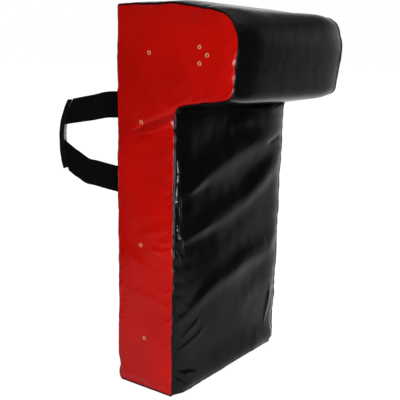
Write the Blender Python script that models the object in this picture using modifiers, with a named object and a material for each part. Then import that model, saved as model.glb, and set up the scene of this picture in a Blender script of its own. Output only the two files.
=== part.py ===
"""A tackle shield: foam slabs in a sewn vinyl cover, with an overhanging nose and two webbing handles.

Metres, +Z up. The origin is the middle of the pad's base, the strike face looks along -Y and the
handles stand out from the back, along +Y. Left is -X.
"""

import math

import bmesh
import bpy
import numpy as np
from mathutils import Vector
from mathutils.bvhtree import BVHTree

# Pad, measured at the seams of its side panels
PAD_WIDTH = 0.390
PAD_DEPTH = 0.138
PAD_HEIGHT = 0.750
NOSE_REACH = 0.140
NOSE_TOP_FALL = 0.0225
CHIN_DROP = 0.166
CHIN_SETBACK = 0.016
THROAT_DROP = 0.1855
TOP_BACK_RADIUS = 0.005
TOP_BEND_RADIUS = 0.150
NOSE_TOP_RADIUS = 0.060
CHIN_RADIUS = 0.019
THROAT_RADIUS = 0.020
BASE_EDGE_RADIUS = 0.006

# Clearance that every two pieces keep, and how far a cutter runs past what it cuts
GAP = 0.0003
OVERRUN = 0.010

# Cover: the sheet, its crown over the foam, and how far from a seam a panel is fully crowned
COVER_THICKNESS = 0.0009
STRIKE_CROWN = 0.008
NOSE_CROWN = 0.007
SIDE_CROWN = 0.005
BACK_CROWN = 0.004
CROWN_RUN = 0.045
PIPING_RADIUS = 0.0014

# Vent eyelets
EYELET_FLANGE_RADIUS = 0.0042
EYELET_CREST_RADIUS = 0.0032
EYELET_BARREL_RADIUS = 0.0026
EYELET_BORE_RADIUS = 0.0020
EYELET_HEIGHT = 0.0011
WASHER_RADIUS = 0.0045
WASHER_THICKNESS = 0.0005
EYELET_SIDES = 10

# Where the eyelets sit. Those of the nose: ahead of the strike face's plane, and below the top of the
# pad. Those of the body: behind the pad's middle, and below its top or above its base
NOSE_EYELET_LEADS = (0.057, 0.073, 0.057)
NOSE_EYELET_DROPS = (0.077, 0.0905, 0.105)
UPPER_EYELET_OFFSETS = (-0.012, 0.006)
UPPER_EYELET_DROPS = (0.088, 0.215)
LOWER_EYELET_OFFSETS = (0.007, -0.002)
LOWER_EYELET_HEIGHTS = (0.297, 0.108)

# Foam: how thick the firm slab at the back is
REAR_SLAB_DEPTH = 0.069

# Zip in the back panel, low down, closed with its slider at the right
ZIP_HEIGHT = 0.035
ZIP_SLOT_HEIGHT = 0.012
ZIP_SIDE_MARGIN = 0.025
ZIP_TAPE_THICKNESS = 0.0007
ZIP_TAPE_WIDTH = 0.013
TOOTH_PITCH = 0.0076
TOOTH_WIDTH = 0.0030
TOOTH_THICKNESS = 0.0024
TOOTH_LENGTH = 0.0028
TOOTH_GRIP = 0.0008
TAPE_END = 0.012
STOP_LENGTH = 0.004
SLIDER_LENGTH = 0.014
SLIDER_HEIGHT = 0.010
SLIDER_PLATE = 0.0011
SLIDER_POST = 0.0008
SLIDER_CLEARANCE = 0.0006
BRIDGE_LENGTH = 0.0090
BRIDGE_WIDTH = 0.0024
BRIDGE_BAR = 0.0011
PULL_LENGTH = 0.030
PULL_WIDTH = 0.0085
PULL_THICKNESS = 0.0012
PULL_ARM = 0.0016
PULL_EYE_LENGTH = 0.0068

# Webbing handles: doubled bands that stand out from the back and carry an upright grip
WEBBING_WIDTH = 0.050
WEBBING_THICKNESS = 0.0013
ROOT_INSET = 0.045
HANDLE_SPLAY = 15.9
UPPER_ROOT_DROP = 0.191
ROOT_SPACING = 0.155
UPPER_BAND_FALL = 0.018
LOWER_BAND_RISE = 0.051
TAIL_REACH = 0.023
PATCH_WIDTH = 0.058
PATCH_OVERHANG = 0.032
PATCH_THICKNESS = 0.0009
GRIP_REACH = 0.1605
GRIP_BOW = 0.019
GRIP_RISE = 0.083
GRIP_HALF_LENGTH = 0.072
GRIP_WIDTH = 0.018
GRIP_FLAP = 0.010
CORE_THICKNESS = 0.0016
TAB_REACH = 0.006
TAB_RADIUS = 0.003
SEWN_TAB_SLACK = 0.0006

# Steps along a band, across it, round each bend of the webbing, and up a grip
BAND_STEPS = 14
BAND_ROWS = 6
TURN_STEPS = 4
GRIP_ROWS = 14

# How a band's middle line falls or rises: share of its reach, then share of its fall or rise
UPPER_FALL_SHARES = ((0.0, 0.0), (0.18, 0.0), (0.32, 0.06), (0.62, 0.52), (0.80, 0.74), (1.0, 1.0))
LOWER_RISE_SHARES = ((0.0, 0.0), (0.18, 0.10), (0.45, 0.25), (0.64, 0.38), (0.82, 0.70), (1.0, 1.0))

# Places across a panel, as shares of the run in which it rises from its seam, then of the rest
RISING_SHARES = (0.27, 0.58, 1.0)
FLAT_SHARES = (0.5, 1.0)

RED_VINYL = ((0.58, 0.012, 0.006), 0.24, 0.0)
BLACK_VINYL = ((0.012, 0.012, 0.013), 0.20, 0.0)
BLACK_WEBBING = ((0.010, 0.010, 0.011), 0.85, 0.0)
BLACK_THREAD = ((0.015, 0.015, 0.016), 0.70, 0.0)
GREY_CORE = ((0.46, 0.44, 0.42), 0.80, 0.0)
CREAM_FOAM = ((0.80, 0.74, 0.58), 0.95, 0.0)
BLUE_GREY_FOAM = ((0.30, 0.34, 0.40), 0.95, 0.0)
BRASS = ((0.72, 0.50, 0.24), 0.38, 1.0)
ZINC = ((0.30, 0.30, 0.31), 0.35, 1.0)
BLACK_NYLON = ((0.018, 0.018, 0.020), 0.45, 0.0)

# Worked out from the sizes above
BACK = PAD_DEPTH / 2
FACE = -PAD_DEPTH / 2
CHIN_HEIGHT = PAD_HEIGHT - CHIN_DROP
THROAT_HEIGHT = PAD_HEIGHT - THROAT_DROP
ZIP_SLOT_LENGTH = PAD_WIDTH - 2 * ZIP_SIDE_MARGIN
TOOTH_ROW_LENGTH = ZIP_SLOT_LENGTH - 2 * TAPE_END
UPPER_ROOT_HEIGHT = PAD_HEIGHT - UPPER_ROOT_DROP
LOWER_ROOT_HEIGHT = UPPER_ROOT_HEIGHT - ROOT_SPACING
GRIP_MIDDLE = LOWER_ROOT_HEIGHT + GRIP_RISE
TAPE_NEAR_EDGE = SLIDER_POST / 2 + GAP + TOOTH_LENGTH - TOOTH_GRIP
ZIP_FOOT = ZIP_HEIGHT - TAPE_NEAR_EDGE - ZIP_TAPE_WIDTH - GAP
BACK_CROWN_RUN = ZIP_FOOT - BASE_EDGE_RADIUS
FOAM_INSET = COVER_THICKNESS + max(WASHER_THICKNESS, ZIP_TAPE_THICKNESS) + 2 * GAP
SEAM_INSET = PIPING_RADIUS + GAP
BACK_SKIN = BACK + BACK_CROWN
TAPE_MIDDLE = BACK_SKIN - COVER_THICKNESS - GAP - ZIP_TAPE_THICKNESS / 2
PATCH_FACE = BACK_SKIN + GAP + PATCH_THICKNESS
TAIL_FACE = PATCH_FACE + GAP + WEBBING_THICKNESS
ROOT_DEPTH = TAIL_FACE + GAP + WEBBING_THICKNESS
SLIDER_REST = (TOOTH_ROW_LENGTH - SLIDER_LENGTH) / 2


def clear_scene():
    for obj in list(bpy.data.objects):
        bpy.data.objects.remove(obj)


def new_collection(name, hidden=False):
    collection = bpy.data.collections.new(name)
    collection.hide_render = hidden
    bpy.context.scene.collection.children.link(collection)
    return collection


def add_object(name, data, finish, parent=None):
    """One named piece of the shield, with a material of its own."""
    colour, roughness, metallic = finish
    material = bpy.data.materials.new(name)
    material.use_nodes = True
    shader = material.node_tree.nodes["Principled BSDF"]
    shader.inputs["Base Color"].default_value = (*colour, 1.0)
    shader.inputs["Roughness"].default_value = roughness
    shader.inputs["Metallic"].default_value = metallic
    data.materials.append(material)
    obj = bpy.data.objects.new(name, data)
    obj.parent = parent
    SHIELD.objects.link(obj)
    return obj


def add_empty(name, location, turn=0.0, parent=None):
    """A hinge or slide carrier: pieces parented to it move about or along it."""
    empty = bpy.data.objects.new(name, None)
    empty.location = location
    empty.rotation_euler.z = turn
    empty.parent = parent
    SHIELD.objects.link(empty)
    return empty


def add_cutter(name, mesh, parent=None):
    obj = bpy.data.objects.new(name, mesh)
    obj.display_type = "WIRE"
    obj.hide_render = True
    obj.parent = parent
    CUTTERS.objects.link(obj)
    return obj


def finished_mesh(name, bm, smooth=True):
    mesh = bpy.data.meshes.new(name)
    bm.to_mesh(mesh)
    bm.free()
    if smooth:
        mesh.shade_smooth()
        mesh.set_sharp_from_angle(angle=math.radians(35))
    return mesh


def add_box(bm, low, high):
    """A box between two opposite corners."""
    low = np.array(low)
    high = np.array(high)
    verts = bmesh.ops.create_cube(bm, size=1)["verts"]
    for vert in verts:
        vert.co = low + (high - low) * (np.array(vert.co) + 0.5)
    return verts


def box_mesh(name, *boxes):
    """One mesh of separate boxes, each given as its low and high corners."""
    bm = bmesh.new()
    for low, high in boxes:
        add_box(bm, low, high)
    return finished_mesh(name, bm, smooth=False)


def boolean(obj, cutter, operation):
    modifier = obj.modifiers.new(cutter.name, "BOOLEAN")
    modifier.operation = operation
    modifier.object = cutter
    return modifier


def solidify(obj, thickness, offset):
    modifier = obj.modifiers.new("Thickness", "SOLIDIFY")
    modifier.thickness = thickness
    modifier.offset = offset
    modifier.use_even_offset = True


def add_grid(bm, columns, rows, place):
    """A grid of quads, each corner put where place(column, row) says."""
    for vert in bmesh.ops.create_grid(bm, x_segments=columns, y_segments=rows, size=1)["verts"]:
        column = round((vert.co.x + 1) / 2 * columns)
        row = round((vert.co.y + 1) / 2 * rows)
        vert.co = place(column, row)


def face_away(bm, point):
    """Turns an open sheet so that its faces look away from a point inside the pad."""
    bm.normal_update()
    total = 0.0
    for face in bm.faces:
        away = np.array(face.calc_center_median()) - point
        total += away @ np.array(face.normal) * face.calc_area()
    if total < 0:
        bmesh.ops.reverse_faces(bm, faces=bm.faces)


def rise(distance, run):
    """Share of a panel's crown at a distance from its seam: none at the seam, all of it past the run."""
    return 1 - (1 - min(distance / run, 1.0)) ** 2


# The pad's side outline, walked from the base's back edge up the back, over the nose and down the
# strike face. Each corner has its place, its radius, the steps in half of its arc and the steps of
# the straight run after it. The counts of opposite runs match, so the side panels can be gridded.
# Two of the corners are points on the straight back, just below the zip and level with the throat.
OUTLINE_CORNERS = (
    (BACK, 0.0, BASE_EDGE_RADIUS, 2, 1),
    (BACK, ZIP_FOOT, 0.0, 0, 9),
    (BACK, THROAT_HEIGHT, 0.0, 0, 6),
    (BACK, PAD_HEIGHT, TOP_BACK_RADIUS, 2, 4),
    (FACE, PAD_HEIGHT, TOP_BEND_RADIUS, 1, 3),
    (FACE - NOSE_REACH, PAD_HEIGHT - NOSE_TOP_FALL, NOSE_TOP_RADIUS, 5, 1),
    (FACE - NOSE_REACH + CHIN_SETBACK, CHIN_HEIGHT, CHIN_RADIUS, 2, 4),
    (FACE, THROAT_HEIGHT, THROAT_RADIUS, 3, 7),
    (FACE, 0.0, BASE_EDGE_RADIUS, 2, 3),
)
BASE_BACK, FOOT, WAIST, TOP_BACK, TOP_BEND, NOSE_TOP, CHIN, THROAT, BASE_FRONT = range(
    len(OUTLINE_CORNERS))


def outward(direction):
    """The outline is walked with the pad on its left, so outwards is to its right."""
    return np.array((direction[1], -direction[0]))


def corner_arc(index):
    """Points and outward normals along a rounded corner, from one straight run to the next."""
    count = len(OUTLINE_CORNERS)
    before = np.array(OUTLINE_CORNERS[index - 1][:2])
    corner = np.array(OUTLINE_CORNERS[index][:2])
    after = np.array(OUTLINE_CORNERS[(index + 1) % count][:2])
    radius, half_steps = OUTLINE_CORNERS[index][2:4]
    along = (corner - before) / np.linalg.norm(corner - before)
    onward = (after - corner) / np.linalg.norm(after - corner)
    if not half_steps:
        return [(corner, outward(along))]
    turn = math.atan2(along[0] * onward[1] - along[1] * onward[0], along @ onward)
    signed_radius = math.copysign(radius, turn)
    start = corner - along * radius * math.tan(abs(turn) / 2)
    centre = start - outward(along) * signed_radius
    arc = []
    for step in range(2 * half_steps + 1):
        angle = turn * step / (2 * half_steps)
        heading = np.array((
            along[0] * math.cos(angle) - along[1] * math.sin(angle),
            along[0] * math.sin(angle) + along[1] * math.cos(angle),
        ))
        arc.append((centre + outward(heading) * signed_radius, outward(heading)))
    return arc


def walk_outline():
    """Every station of the outline, its outward normal, and the station in the middle of each corner."""
    stations = []
    middles = []
    count = len(OUTLINE_CORNERS)
    for index in range(count):
        half_steps, line_steps = OUTLINE_CORNERS[index][3:5]
        arc = corner_arc(index)
        next_half_steps = OUTLINE_CORNERS[(index + 1) % count][3]
        next_arc = corner_arc((index + 1) % count)
        middles.append(len(stations))
        stations += arc[half_steps:]
        start = arc[-1][0]
        run = next_arc[0][0] - start
        run_normal = outward(run / np.linalg.norm(run))
        for step in range(1, line_steps):
            share = (1 - math.cos(math.pi * step / line_steps)) / 2
            stations.append((start + run * share, run_normal))
        stations += next_arc[:next_half_steps]
    places = np.array([place for place, normal in stations])
    normals = np.array([normal for place, normal in stations])
    return places, normals, middles


OUTLINE, OUTLINE_NORMALS, CORNER_STATIONS = walk_outline()
STATION_COUNT = len(OUTLINE)
STEP_LENGTHS = np.linalg.norm(np.roll(OUTLINE, -1, axis=0) - OUTLINE, axis=1)

# The side seams follow the outline, but along the base their piping stays above the floor
SIDE_SEAM = np.column_stack((OUTLINE[:, 0], np.maximum(OUTLINE[:, 1], PIPING_RADIUS)))


def stations_between(first, last):
    """Station numbers from one to another, walking on past the end of the list if need be."""
    count = (last - first) % STATION_COUNT
    return [(first + step) % STATION_COUNT for step in range(count + 1)]


def panel_stations():
    """The stations of the four panels that run across the pad, named."""
    base_steps = OUTLINE_CORNERS[BASE_FRONT][3]
    throat_steps = OUTLINE_CORNERS[THROAT][3]
    base_front = CORNER_STATIONS[BASE_FRONT] + base_steps
    base_back = STATION_COUNT - OUTLINE_CORNERS[BASE_BACK][3]
    throat = CORNER_STATIONS[THROAT] + throat_steps
    top = CORNER_STATIONS[TOP_BACK]
    return {
        "back": stations_between(base_back, top),
        "nose": stations_between(top, throat),
        "strike": stations_between(throat, base_front),
        "base": stations_between(base_front, base_back),
    }


PANEL_STATIONS = panel_stations()
PANEL_CROWNS = {
    "back": (BACK_CROWN, BACK_CROWN_RUN),
    "nose": (NOSE_CROWN, CROWN_RUN),
    "strike": (STRIKE_CROWN, CROWN_RUN),
    "base": (0.0, CROWN_RUN),
}


def seam_distances(panel):
    """How far each of a panel's stations lies from the nearer cross seam, or from the base's rounded edge."""
    stations = PANEL_STATIONS[panel]
    walked = np.concatenate([[0.0], np.cumsum(STEP_LENGTHS[stations[:-1]])])
    above_base = np.maximum(OUTLINE[stations, 1] - BASE_EDGE_RADIUS, 0.0)
    return np.minimum(np.minimum(walked, walked[-1] - walked), above_base)


def across(inset):
    """Places across the pad, from one side panel to the other, closer together near the seams."""
    edge = PAD_WIDTH / 2 - inset
    rising = [PAD_WIDTH / 2 - CROWN_RUN * share for share in RISING_SHARES]
    flat = [rising[-1] * (1 - share) for share in FLAT_SHARES]
    half = [edge, *rising, *flat]
    return [-place for place in half] + half[-2::-1]


def skin_point(panel, row, x, inset):
    """A point of a cross panel's outer surface at one of its rows, or below it by the inset."""
    crown, run = PANEL_CROWNS[panel]
    station = PANEL_STATIONS[panel][row]
    near_seam = rise(SEAM_DISTANCES[panel][row], run) * rise(PAD_WIDTH / 2 - abs(x), run)
    y, z = OUTLINE[station] + OUTLINE_NORMALS[station] * (crown * near_seam - inset)
    return np.array((x, y, z))


SEAM_DISTANCES = {panel: seam_distances(panel) for panel in PANEL_STATIONS}


def side_seam_distance(point):
    """How far a point of the side view lies from the side seam."""
    spans = np.roll(SIDE_SEAM, -1, axis=0) - SIDE_SEAM
    lengths = np.maximum((spans**2).sum(axis=1), np.finfo(float).tiny)
    shares = np.clip(((point - SIDE_SEAM) * spans).sum(axis=1) / lengths, 0.0, 1.0)
    nearest = SIDE_SEAM + spans * shares[:, None]
    return np.linalg.norm(nearest - point, axis=1).min()


def side_reach(point, edge_inset=SEAM_INSET):
    """How far out from the pad's middle the side panel's outer surface lies at a point of the side view."""
    inside = max(side_seam_distance(point) - edge_inset, 0.0)
    return PAD_WIDTH / 2 + SIDE_CROWN * rise(inside, CROWN_RUN)


def add_side_grid(bm, edge, side, inset, edge_inset):
    """Three grids that fill the side outline: the body below the throat, the body above it, and the nose.

    The edge has a point for each outline station. Each grid lies between four runs of points, its
    surface the inset below the side panel's and uncrowned within the edge inset of the seam.
    """
    def run(first, last):
        return [edge[station] for station in stations_between(
            CORNER_STATIONS[first], CORNER_STATIONS[last])]

    def straight(start, end, steps):
        return [start + (end - start) * step / steps for step in range(steps + 1)]

    base = run(BASE_FRONT, BASE_BACK)
    waist = straight(edge[CORNER_STATIONS[THROAT]], edge[CORNER_STATIONS[WAIST]], len(base) - 1)
    chest = run(WAIST, TOP_BACK)
    neck = straight(edge[CORNER_STATIONS[THROAT]], edge[CORNER_STATIONS[TOP_BEND]], len(chest) - 1)
    blocks = (
        (base, waist, run(THROAT, BASE_FRONT)[::-1], run(BASE_BACK, WAIST)),
        (waist, run(TOP_BACK, TOP_BEND)[::-1], neck, chest),
        (run(CHIN, THROAT), run(TOP_BEND, NOSE_TOP)[::-1], run(NOSE_TOP, CHIN)[::-1], neck),
    )
    for bottom, top, left, right in blocks:
        columns = len(bottom) - 1
        rows = len(left) - 1

        def place(column, row):
            u = column / columns
            v = row / rows
            point = (1 - v) * bottom[column] + v * top[column] + (1 - u) * left[row] + u * right[row]
            point = point - (1 - u) * (1 - v) * bottom[0] - u * (1 - v) * bottom[-1]
            point = point - (1 - u) * v * top[0] - u * v * top[-1]
            return np.array((side * (side_reach(point, edge_inset) - inset), *point))

        add_grid(bm, columns, rows, place)
    bmesh.ops.remove_doubles(bm, verts=bm.verts, dist=GAP / 10)


def pad_middle():
    return np.array((0.0, 0.0, PAD_HEIGHT / 2))


def make_cross_panel(panel, name, finish):
    """A panel that runs across the pad between the side panels, from one cross seam to the next."""
    stations = PANEL_STATIONS[panel]
    places = across(SEAM_INSET)
    last = len(stations) - 1

    def place(column, row):
        point = skin_point(panel, row, places[column], 0.0)
        ny, nz = OUTLINE_NORMALS[stations[row]]
        trim = {0: GAP / 2, last: -GAP / 2}.get(row, 0.0)
        return point + np.array((0.0, -nz, ny)) * trim

    bm = bmesh.new()
    add_grid(bm, len(places) - 1, last, place)
    face_away(bm, pad_middle())
    obj = add_object(name, finished_mesh(name, bm), finish)
    solidify(obj, COVER_THICKNESS, -1.0)
    return obj


def eyelet_places():
    """The eyelets' places in the side view."""
    nose = [(FACE - lead, PAD_HEIGHT - drop) for lead, drop in zip(NOSE_EYELET_LEADS, NOSE_EYELET_DROPS)]
    upper = [(offset, PAD_HEIGHT - drop) for offset, drop in zip(UPPER_EYELET_OFFSETS, UPPER_EYELET_DROPS)]
    return nose + upper + list(zip(LOWER_EYELET_OFFSETS, LOWER_EYELET_HEIGHTS))


def eyelet_seats(side):
    """Each eyelet's place on the side panel, on the facet of its outer surface that it is clinched through."""
    bm = bmesh.new()
    add_side_grid(bm, SIDE_SEAM - OUTLINE_NORMALS * SEAM_INSET, side, 0.0, SEAM_INSET)
    surface = BVHTree.FromBMesh(bm)
    bm.free()
    start = side * (PAD_WIDTH + SIDE_CROWN)
    return [surface.ray_cast((start, y, z), (-side, 0.0, 0.0))[0] for y, z in eyelet_places()]


def make_side_panel(name, side):
    edge = SIDE_SEAM - OUTLINE_NORMALS * SEAM_INSET
    bm = bmesh.new()
    add_side_grid(bm, edge, side, 0.0, SEAM_INSET)
    face_away(bm, pad_middle())
    panel = add_object(name, finished_mesh(name, bm), RED_VINYL)
    solidify(panel, COVER_THICKNESS, -1.0)
    holes = bmesh.new()
    depth = 2 * (COVER_THICKNESS + OVERRUN)
    for seat in eyelet_seats(side):
        hole = bmesh.ops.create_cone(
            holes,
            cap_ends=True,
            segments=EYELET_SIDES,
            radius1=EYELET_BARREL_RADIUS + GAP,
            radius2=EYELET_BARREL_RADIUS + GAP,
            depth=depth,
        )["verts"]
        for vert in hole:
            across_hole, along_hole, height = vert.co
            vert.co = seat + Vector((height, across_hole, along_hole))
    bmesh.ops.recalc_face_normals(holes, faces=holes.faces)
    cutter = add_cutter(name + "_holes", finished_mesh(name + "_holes", holes, smooth=False))
    boolean(panel, cutter, "DIFFERENCE")


def turned_mesh(name, profile):
    """A closed profile of (radius, height) points, given up the bore and down outside, turned round Z."""
    bm = bmesh.new()
    verts = [bm.verts.new((radius, 0.0, height)) for radius, height in profile]
    for start, end in zip(verts, verts[1:] + verts[:1]):
        bm.edges.new((start, end))
    turned = bpy.data.objects.new(name, finished_mesh(name, bm, smooth=False))
    SHIELD.objects.link(turned)
    screw = turned.modifiers.new("Turn", "SCREW")
    screw.steps = EYELET_SIDES
    screw.render_steps = EYELET_SIDES
    screw.use_merge_vertices = True
    screw.merge_threshold = GAP / 10
    graph = bpy.context.evaluated_depsgraph_get()
    mesh = bpy.data.meshes.new_from_object(turned.evaluated_get(graph))
    bpy.data.objects.remove(turned)
    return mesh


def make_eyelets(label, side):
    """Every vent eyelet of one side panel, clinched through it over a washer on the inside."""
    washer_top = -COVER_THICKNESS - GAP
    washer_bottom = washer_top - WASHER_THICKNESS
    eyelet = turned_mesh("eyelet", (
        (EYELET_BORE_RADIUS, washer_bottom),
        (EYELET_BORE_RADIUS, EYELET_HEIGHT),
        (EYELET_CREST_RADIUS, EYELET_HEIGHT),
        (EYELET_FLANGE_RADIUS, GAP),
        (EYELET_BARREL_RADIUS, GAP),
        (EYELET_BARREL_RADIUS, washer_bottom),
    ))
    washer = turned_mesh("washer", (
        (EYELET_BARREL_RADIUS + GAP, washer_bottom),
        (EYELET_BARREL_RADIUS + GAP, washer_top),
        (WASHER_RADIUS, washer_top),
        (WASHER_RADIUS, washer_bottom),
    ))
    for number, seat in enumerate(eyelet_seats(side), start=1):
        for kind, mesh in (("eyelet", eyelet), ("eyelet_washer", washer)):
            piece = add_object(f"{kind}_{label}_{number}", mesh.copy(), BRASS)
            piece.location = seat
            piece.rotation_euler.y = side * math.pi / 2


def make_piping(name, side):
    """A round welt in the seam round each side panel."""
    curve = bpy.data.curves.new(name, "CURVE")
    curve.dimensions = "3D"
    curve.bevel_depth = PIPING_RADIUS
    curve.bevel_resolution = 0
    spline = curve.splines.new("POLY")
    spline.use_cyclic_u = True
    spline.points.add(STATION_COUNT - 1)
    for point, (y, z) in zip(spline.points, SIDE_SEAM):
        point.co = (side * PAD_WIDTH / 2, y, z, 1.0)
    add_object(name, curve, BLACK_THREAD)


def foam_core():
    """The foam's whole outer shape, before it is cut into slabs: the cover's, less the inset."""
    places = across(FOAM_INSET)
    bm = bmesh.new()
    for panel, stations in PANEL_STATIONS.items():
        add_grid(
            bm,
            len(places) - 1,
            len(stations) - 1,
            lambda column, row, panel=panel: skin_point(panel, row, places[column], FOAM_INSET),
        )
    edge = np.zeros_like(OUTLINE)
    for panel, stations in PANEL_STATIONS.items():
        for row, station in enumerate(stations):
            edge[station] = skin_point(panel, row, places[0], FOAM_INSET)[1:]
    for side in (-1, 1):
        add_side_grid(bm, edge, side, FOAM_INSET, FOAM_INSET)
    bmesh.ops.remove_doubles(bm, verts=bm.verts, dist=GAP / 10)
    bmesh.ops.recalc_face_normals(bm, faces=bm.faces)
    return finished_mesh("foam_core", bm, smooth=False)


def make_foam():
    core = foam_core()
    far = PAD_WIDTH + PAD_DEPTH + PAD_HEIGHT + NOSE_REACH
    joint = BACK - REAR_SLAB_DEPTH
    nose_plane = FACE + FOAM_INSET
    nose_floor = OUTLINE[CORNER_STATIONS[THROAT]][1] - FOAM_INSET
    rear = add_object("foam_rear_slab", core.copy(), BLUE_GREY_FOAM)
    boolean(rear, add_cutter("rear_slab_space", box_mesh(
        "rear_slab_space", ((-far, joint + GAP / 2, -far), (far, far, far)))), "INTERSECT")
    front = add_object("foam_front_slab", core.copy(), CREAM_FOAM)
    boolean(front, add_cutter("front_slab_space", box_mesh(
        "front_slab_space", ((-far, -far, -far), (far, joint - GAP / 2, far)))), "INTERSECT")
    boolean(front, add_cutter("nose_clearance", box_mesh(
        "nose_clearance", ((-far, -far, nose_floor - GAP), (far, nose_plane, far)))), "DIFFERENCE")
    nose = add_object("foam_nose_block", core, CREAM_FOAM)
    boolean(nose, add_cutter("nose_space", box_mesh(
        "nose_space", ((-far, -far, nose_floor), (far, nose_plane - GAP, far)))), "INTERSECT")
    groove_floor = TAPE_MIDDLE - TOOTH_THICKNESS / 2 - 2 * GAP - SLIDER_PLATE
    boolean(rear, add_cutter("zip_groove", box_mesh("zip_groove", (
        (-ZIP_SLOT_LENGTH / 2, groove_floor, ZIP_HEIGHT - ZIP_SLOT_HEIGHT / 2),
        (ZIP_SLOT_LENGTH / 2, BACK_SKIN + OVERRUN, ZIP_HEIGHT + ZIP_SLOT_HEIGHT / 2),
    ))), "DIFFERENCE")


def make_back_panel():
    panel = make_cross_panel("back", "back_panel", BLACK_VINYL)
    slot = box_mesh("zip_slot", (
        (-ZIP_SLOT_LENGTH / 2, BACK, ZIP_HEIGHT - ZIP_SLOT_HEIGHT / 2),
        (ZIP_SLOT_LENGTH / 2, BACK_SKIN + OVERRUN, ZIP_HEIGHT + ZIP_SLOT_HEIGHT / 2),
    ))
    boolean(panel, add_cutter("zip_slot", slot), "DIFFERENCE")


def make_zip_halves():
    """Two woven tapes behind the slot, each with its row of teeth moulded on, and the rows' end stops."""
    half_tape = ZIP_TAPE_THICKNESS / 2
    half_tooth = TOOTH_THICKNESS / 2
    half_split = SLIDER_POST / 2 + GAP
    tooth_tip = half_split + TOOTH_LENGTH
    tape_half_length = ZIP_SLOT_LENGTH / 2 - GAP
    count = int(TOOTH_ROW_LENGTH / TOOTH_PITCH)
    for label, way, shift in (("upper", 1, 0.0), ("lower", -1, TOOTH_PITCH / 2)):
        low, high = sorted((way * TAPE_NEAR_EDGE, way * (TAPE_NEAR_EDGE + ZIP_TAPE_WIDTH)))
        name = "zip_tape_" + label
        tape = add_object(name, box_mesh(name, (
            (-tape_half_length, TAPE_MIDDLE - half_tape, ZIP_HEIGHT + low),
            (tape_half_length, TAPE_MIDDLE + half_tape, ZIP_HEIGHT + high),
        )), BLACK_NYLON)
        low, high = sorted((way * half_split, way * tooth_tip))
        teeth = []
        for index in range(count):
            middle = -TOOTH_ROW_LENGTH / 2 + TOOTH_PITCH * (index + 1 / 4) + shift
            teeth.append((
                (middle - TOOTH_WIDTH / 2, TAPE_MIDDLE - half_tooth, ZIP_HEIGHT + low),
                (middle + TOOTH_WIDTH / 2, TAPE_MIDDLE + half_tooth, ZIP_HEIGHT + high),
            ))
        boolean(tape, add_cutter("zip_teeth_" + label, box_mesh("zip_teeth_" + label, *teeth)), "UNION")
    for label, way in (("left", -1), ("right", 1)):
        near = TOOTH_ROW_LENGTH / 2 + GAP
        left, right = sorted((way * near, way * (near + STOP_LENGTH)))
        name = "zip_stop_" + label
        add_object(name, box_mesh(name, (
            (left, TAPE_MIDDLE - half_tooth, ZIP_HEIGHT - TAPE_NEAR_EDGE + GAP),
            (right, TAPE_MIDDLE + half_tooth, ZIP_HEIGHT + TAPE_NEAR_EDGE - GAP),
        )), ZINC)


def make_zip_slider():
    """The slider, a plate on each side of the teeth joined by a post, and its hinged pull tab."""
    carrier = add_empty("zip_slide", (SLIDER_REST, TAPE_MIDDLE, ZIP_HEIGHT))
    half_length = SLIDER_LENGTH / 2
    inner = TOOTH_THICKNESS / 2 + GAP
    outer = inner + SLIDER_PLATE
    half_height = SLIDER_HEIGHT / 2
    half_bridge = BRIDGE_LENGTH / 2
    bridge_under = outer + PULL_THICKNESS + 2 * SLIDER_CLEARANCE
    front = box_mesh("zip_slider", ((-half_length, inner, -half_height), (half_length, outer, half_height)))
    slider = add_object("zip_slider", front, ZINC, carrier)
    more = (
        ("slider_back_plate", (-half_length, -outer, -half_height), (half_length, -inner, half_height)),
        ("slider_post", (half_length - 3 * SLIDER_POST, -outer + GAP, -SLIDER_POST / 2),
         (half_length - SLIDER_POST, outer - GAP, SLIDER_POST / 2)),
        ("slider_bridge", (-half_bridge, outer - GAP, -BRIDGE_WIDTH / 2),
         (half_bridge, bridge_under + BRIDGE_BAR, BRIDGE_WIDTH / 2)),
    )
    for name, low, high in more:
        boolean(slider, add_cutter(name, box_mesh(name, (low, high)), carrier), "UNION")
    eye = box_mesh("bridge_eye", (
        (-half_bridge + BRIDGE_BAR, outer, -BRIDGE_WIDTH),
        (half_bridge - BRIDGE_BAR, bridge_under, BRIDGE_WIDTH),
    ))
    boolean(slider, add_cutter("bridge_eye", eye, carrier), "DIFFERENCE")

    pin_height = outer + SLIDER_CLEARANCE + PULL_THICKNESS / 2
    hinge = add_empty("zip_pull_hinge", (0.0, pin_height, 0.0), parent=carrier)
    half_thick = PULL_THICKNESS / 2
    tab = box_mesh("zip_pull_tab", (
        (-PULL_LENGTH, -half_thick, -PULL_WIDTH / 2),
        (half_thick, half_thick, PULL_WIDTH / 2),
    ))
    pull = add_object("zip_pull_tab", tab, ZINC, hinge)
    hole = box_mesh("pull_eye", (
        (-PULL_EYE_LENGTH, -half_thick - OVERRUN, -PULL_WIDTH / 2 + PULL_ARM),
        (-half_thick, half_thick + OVERRUN, PULL_WIDTH / 2 - PULL_ARM),
    ))
    boolean(pull, add_cutter("pull_eye", hole, hinge), "DIFFERENCE")


def follow_shares(shares, at):
    """A smooth curve through a table of shares, read at one place."""
    places = [place for place, value in shares]
    values = [value for place, value in shares]
    slopes = np.gradient(values, places)
    index = min(max(np.searchsorted(places, at) - 1, 0), len(places) - 2)
    span = places[index + 1] - places[index]
    t = (at - places[index]) / span
    return (
        values[index] * (2 * t**3 - 3 * t**2 + 1)
        + slopes[index] * span * (t**3 - 2 * t**2 + t)
        + values[index + 1] * (3 * t**2 - 2 * t**3)
        + slopes[index + 1] * span * (t**3 - t**2)
    )


def grip_face(height):
    """How far out from the handle's root the grip's outer face lies at a height: it is bowed outwards."""
    return GRIP_REACH - GRIP_BOW * abs((height - GRIP_MIDDLE) / GRIP_HALF_LENGTH) ** 3


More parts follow.
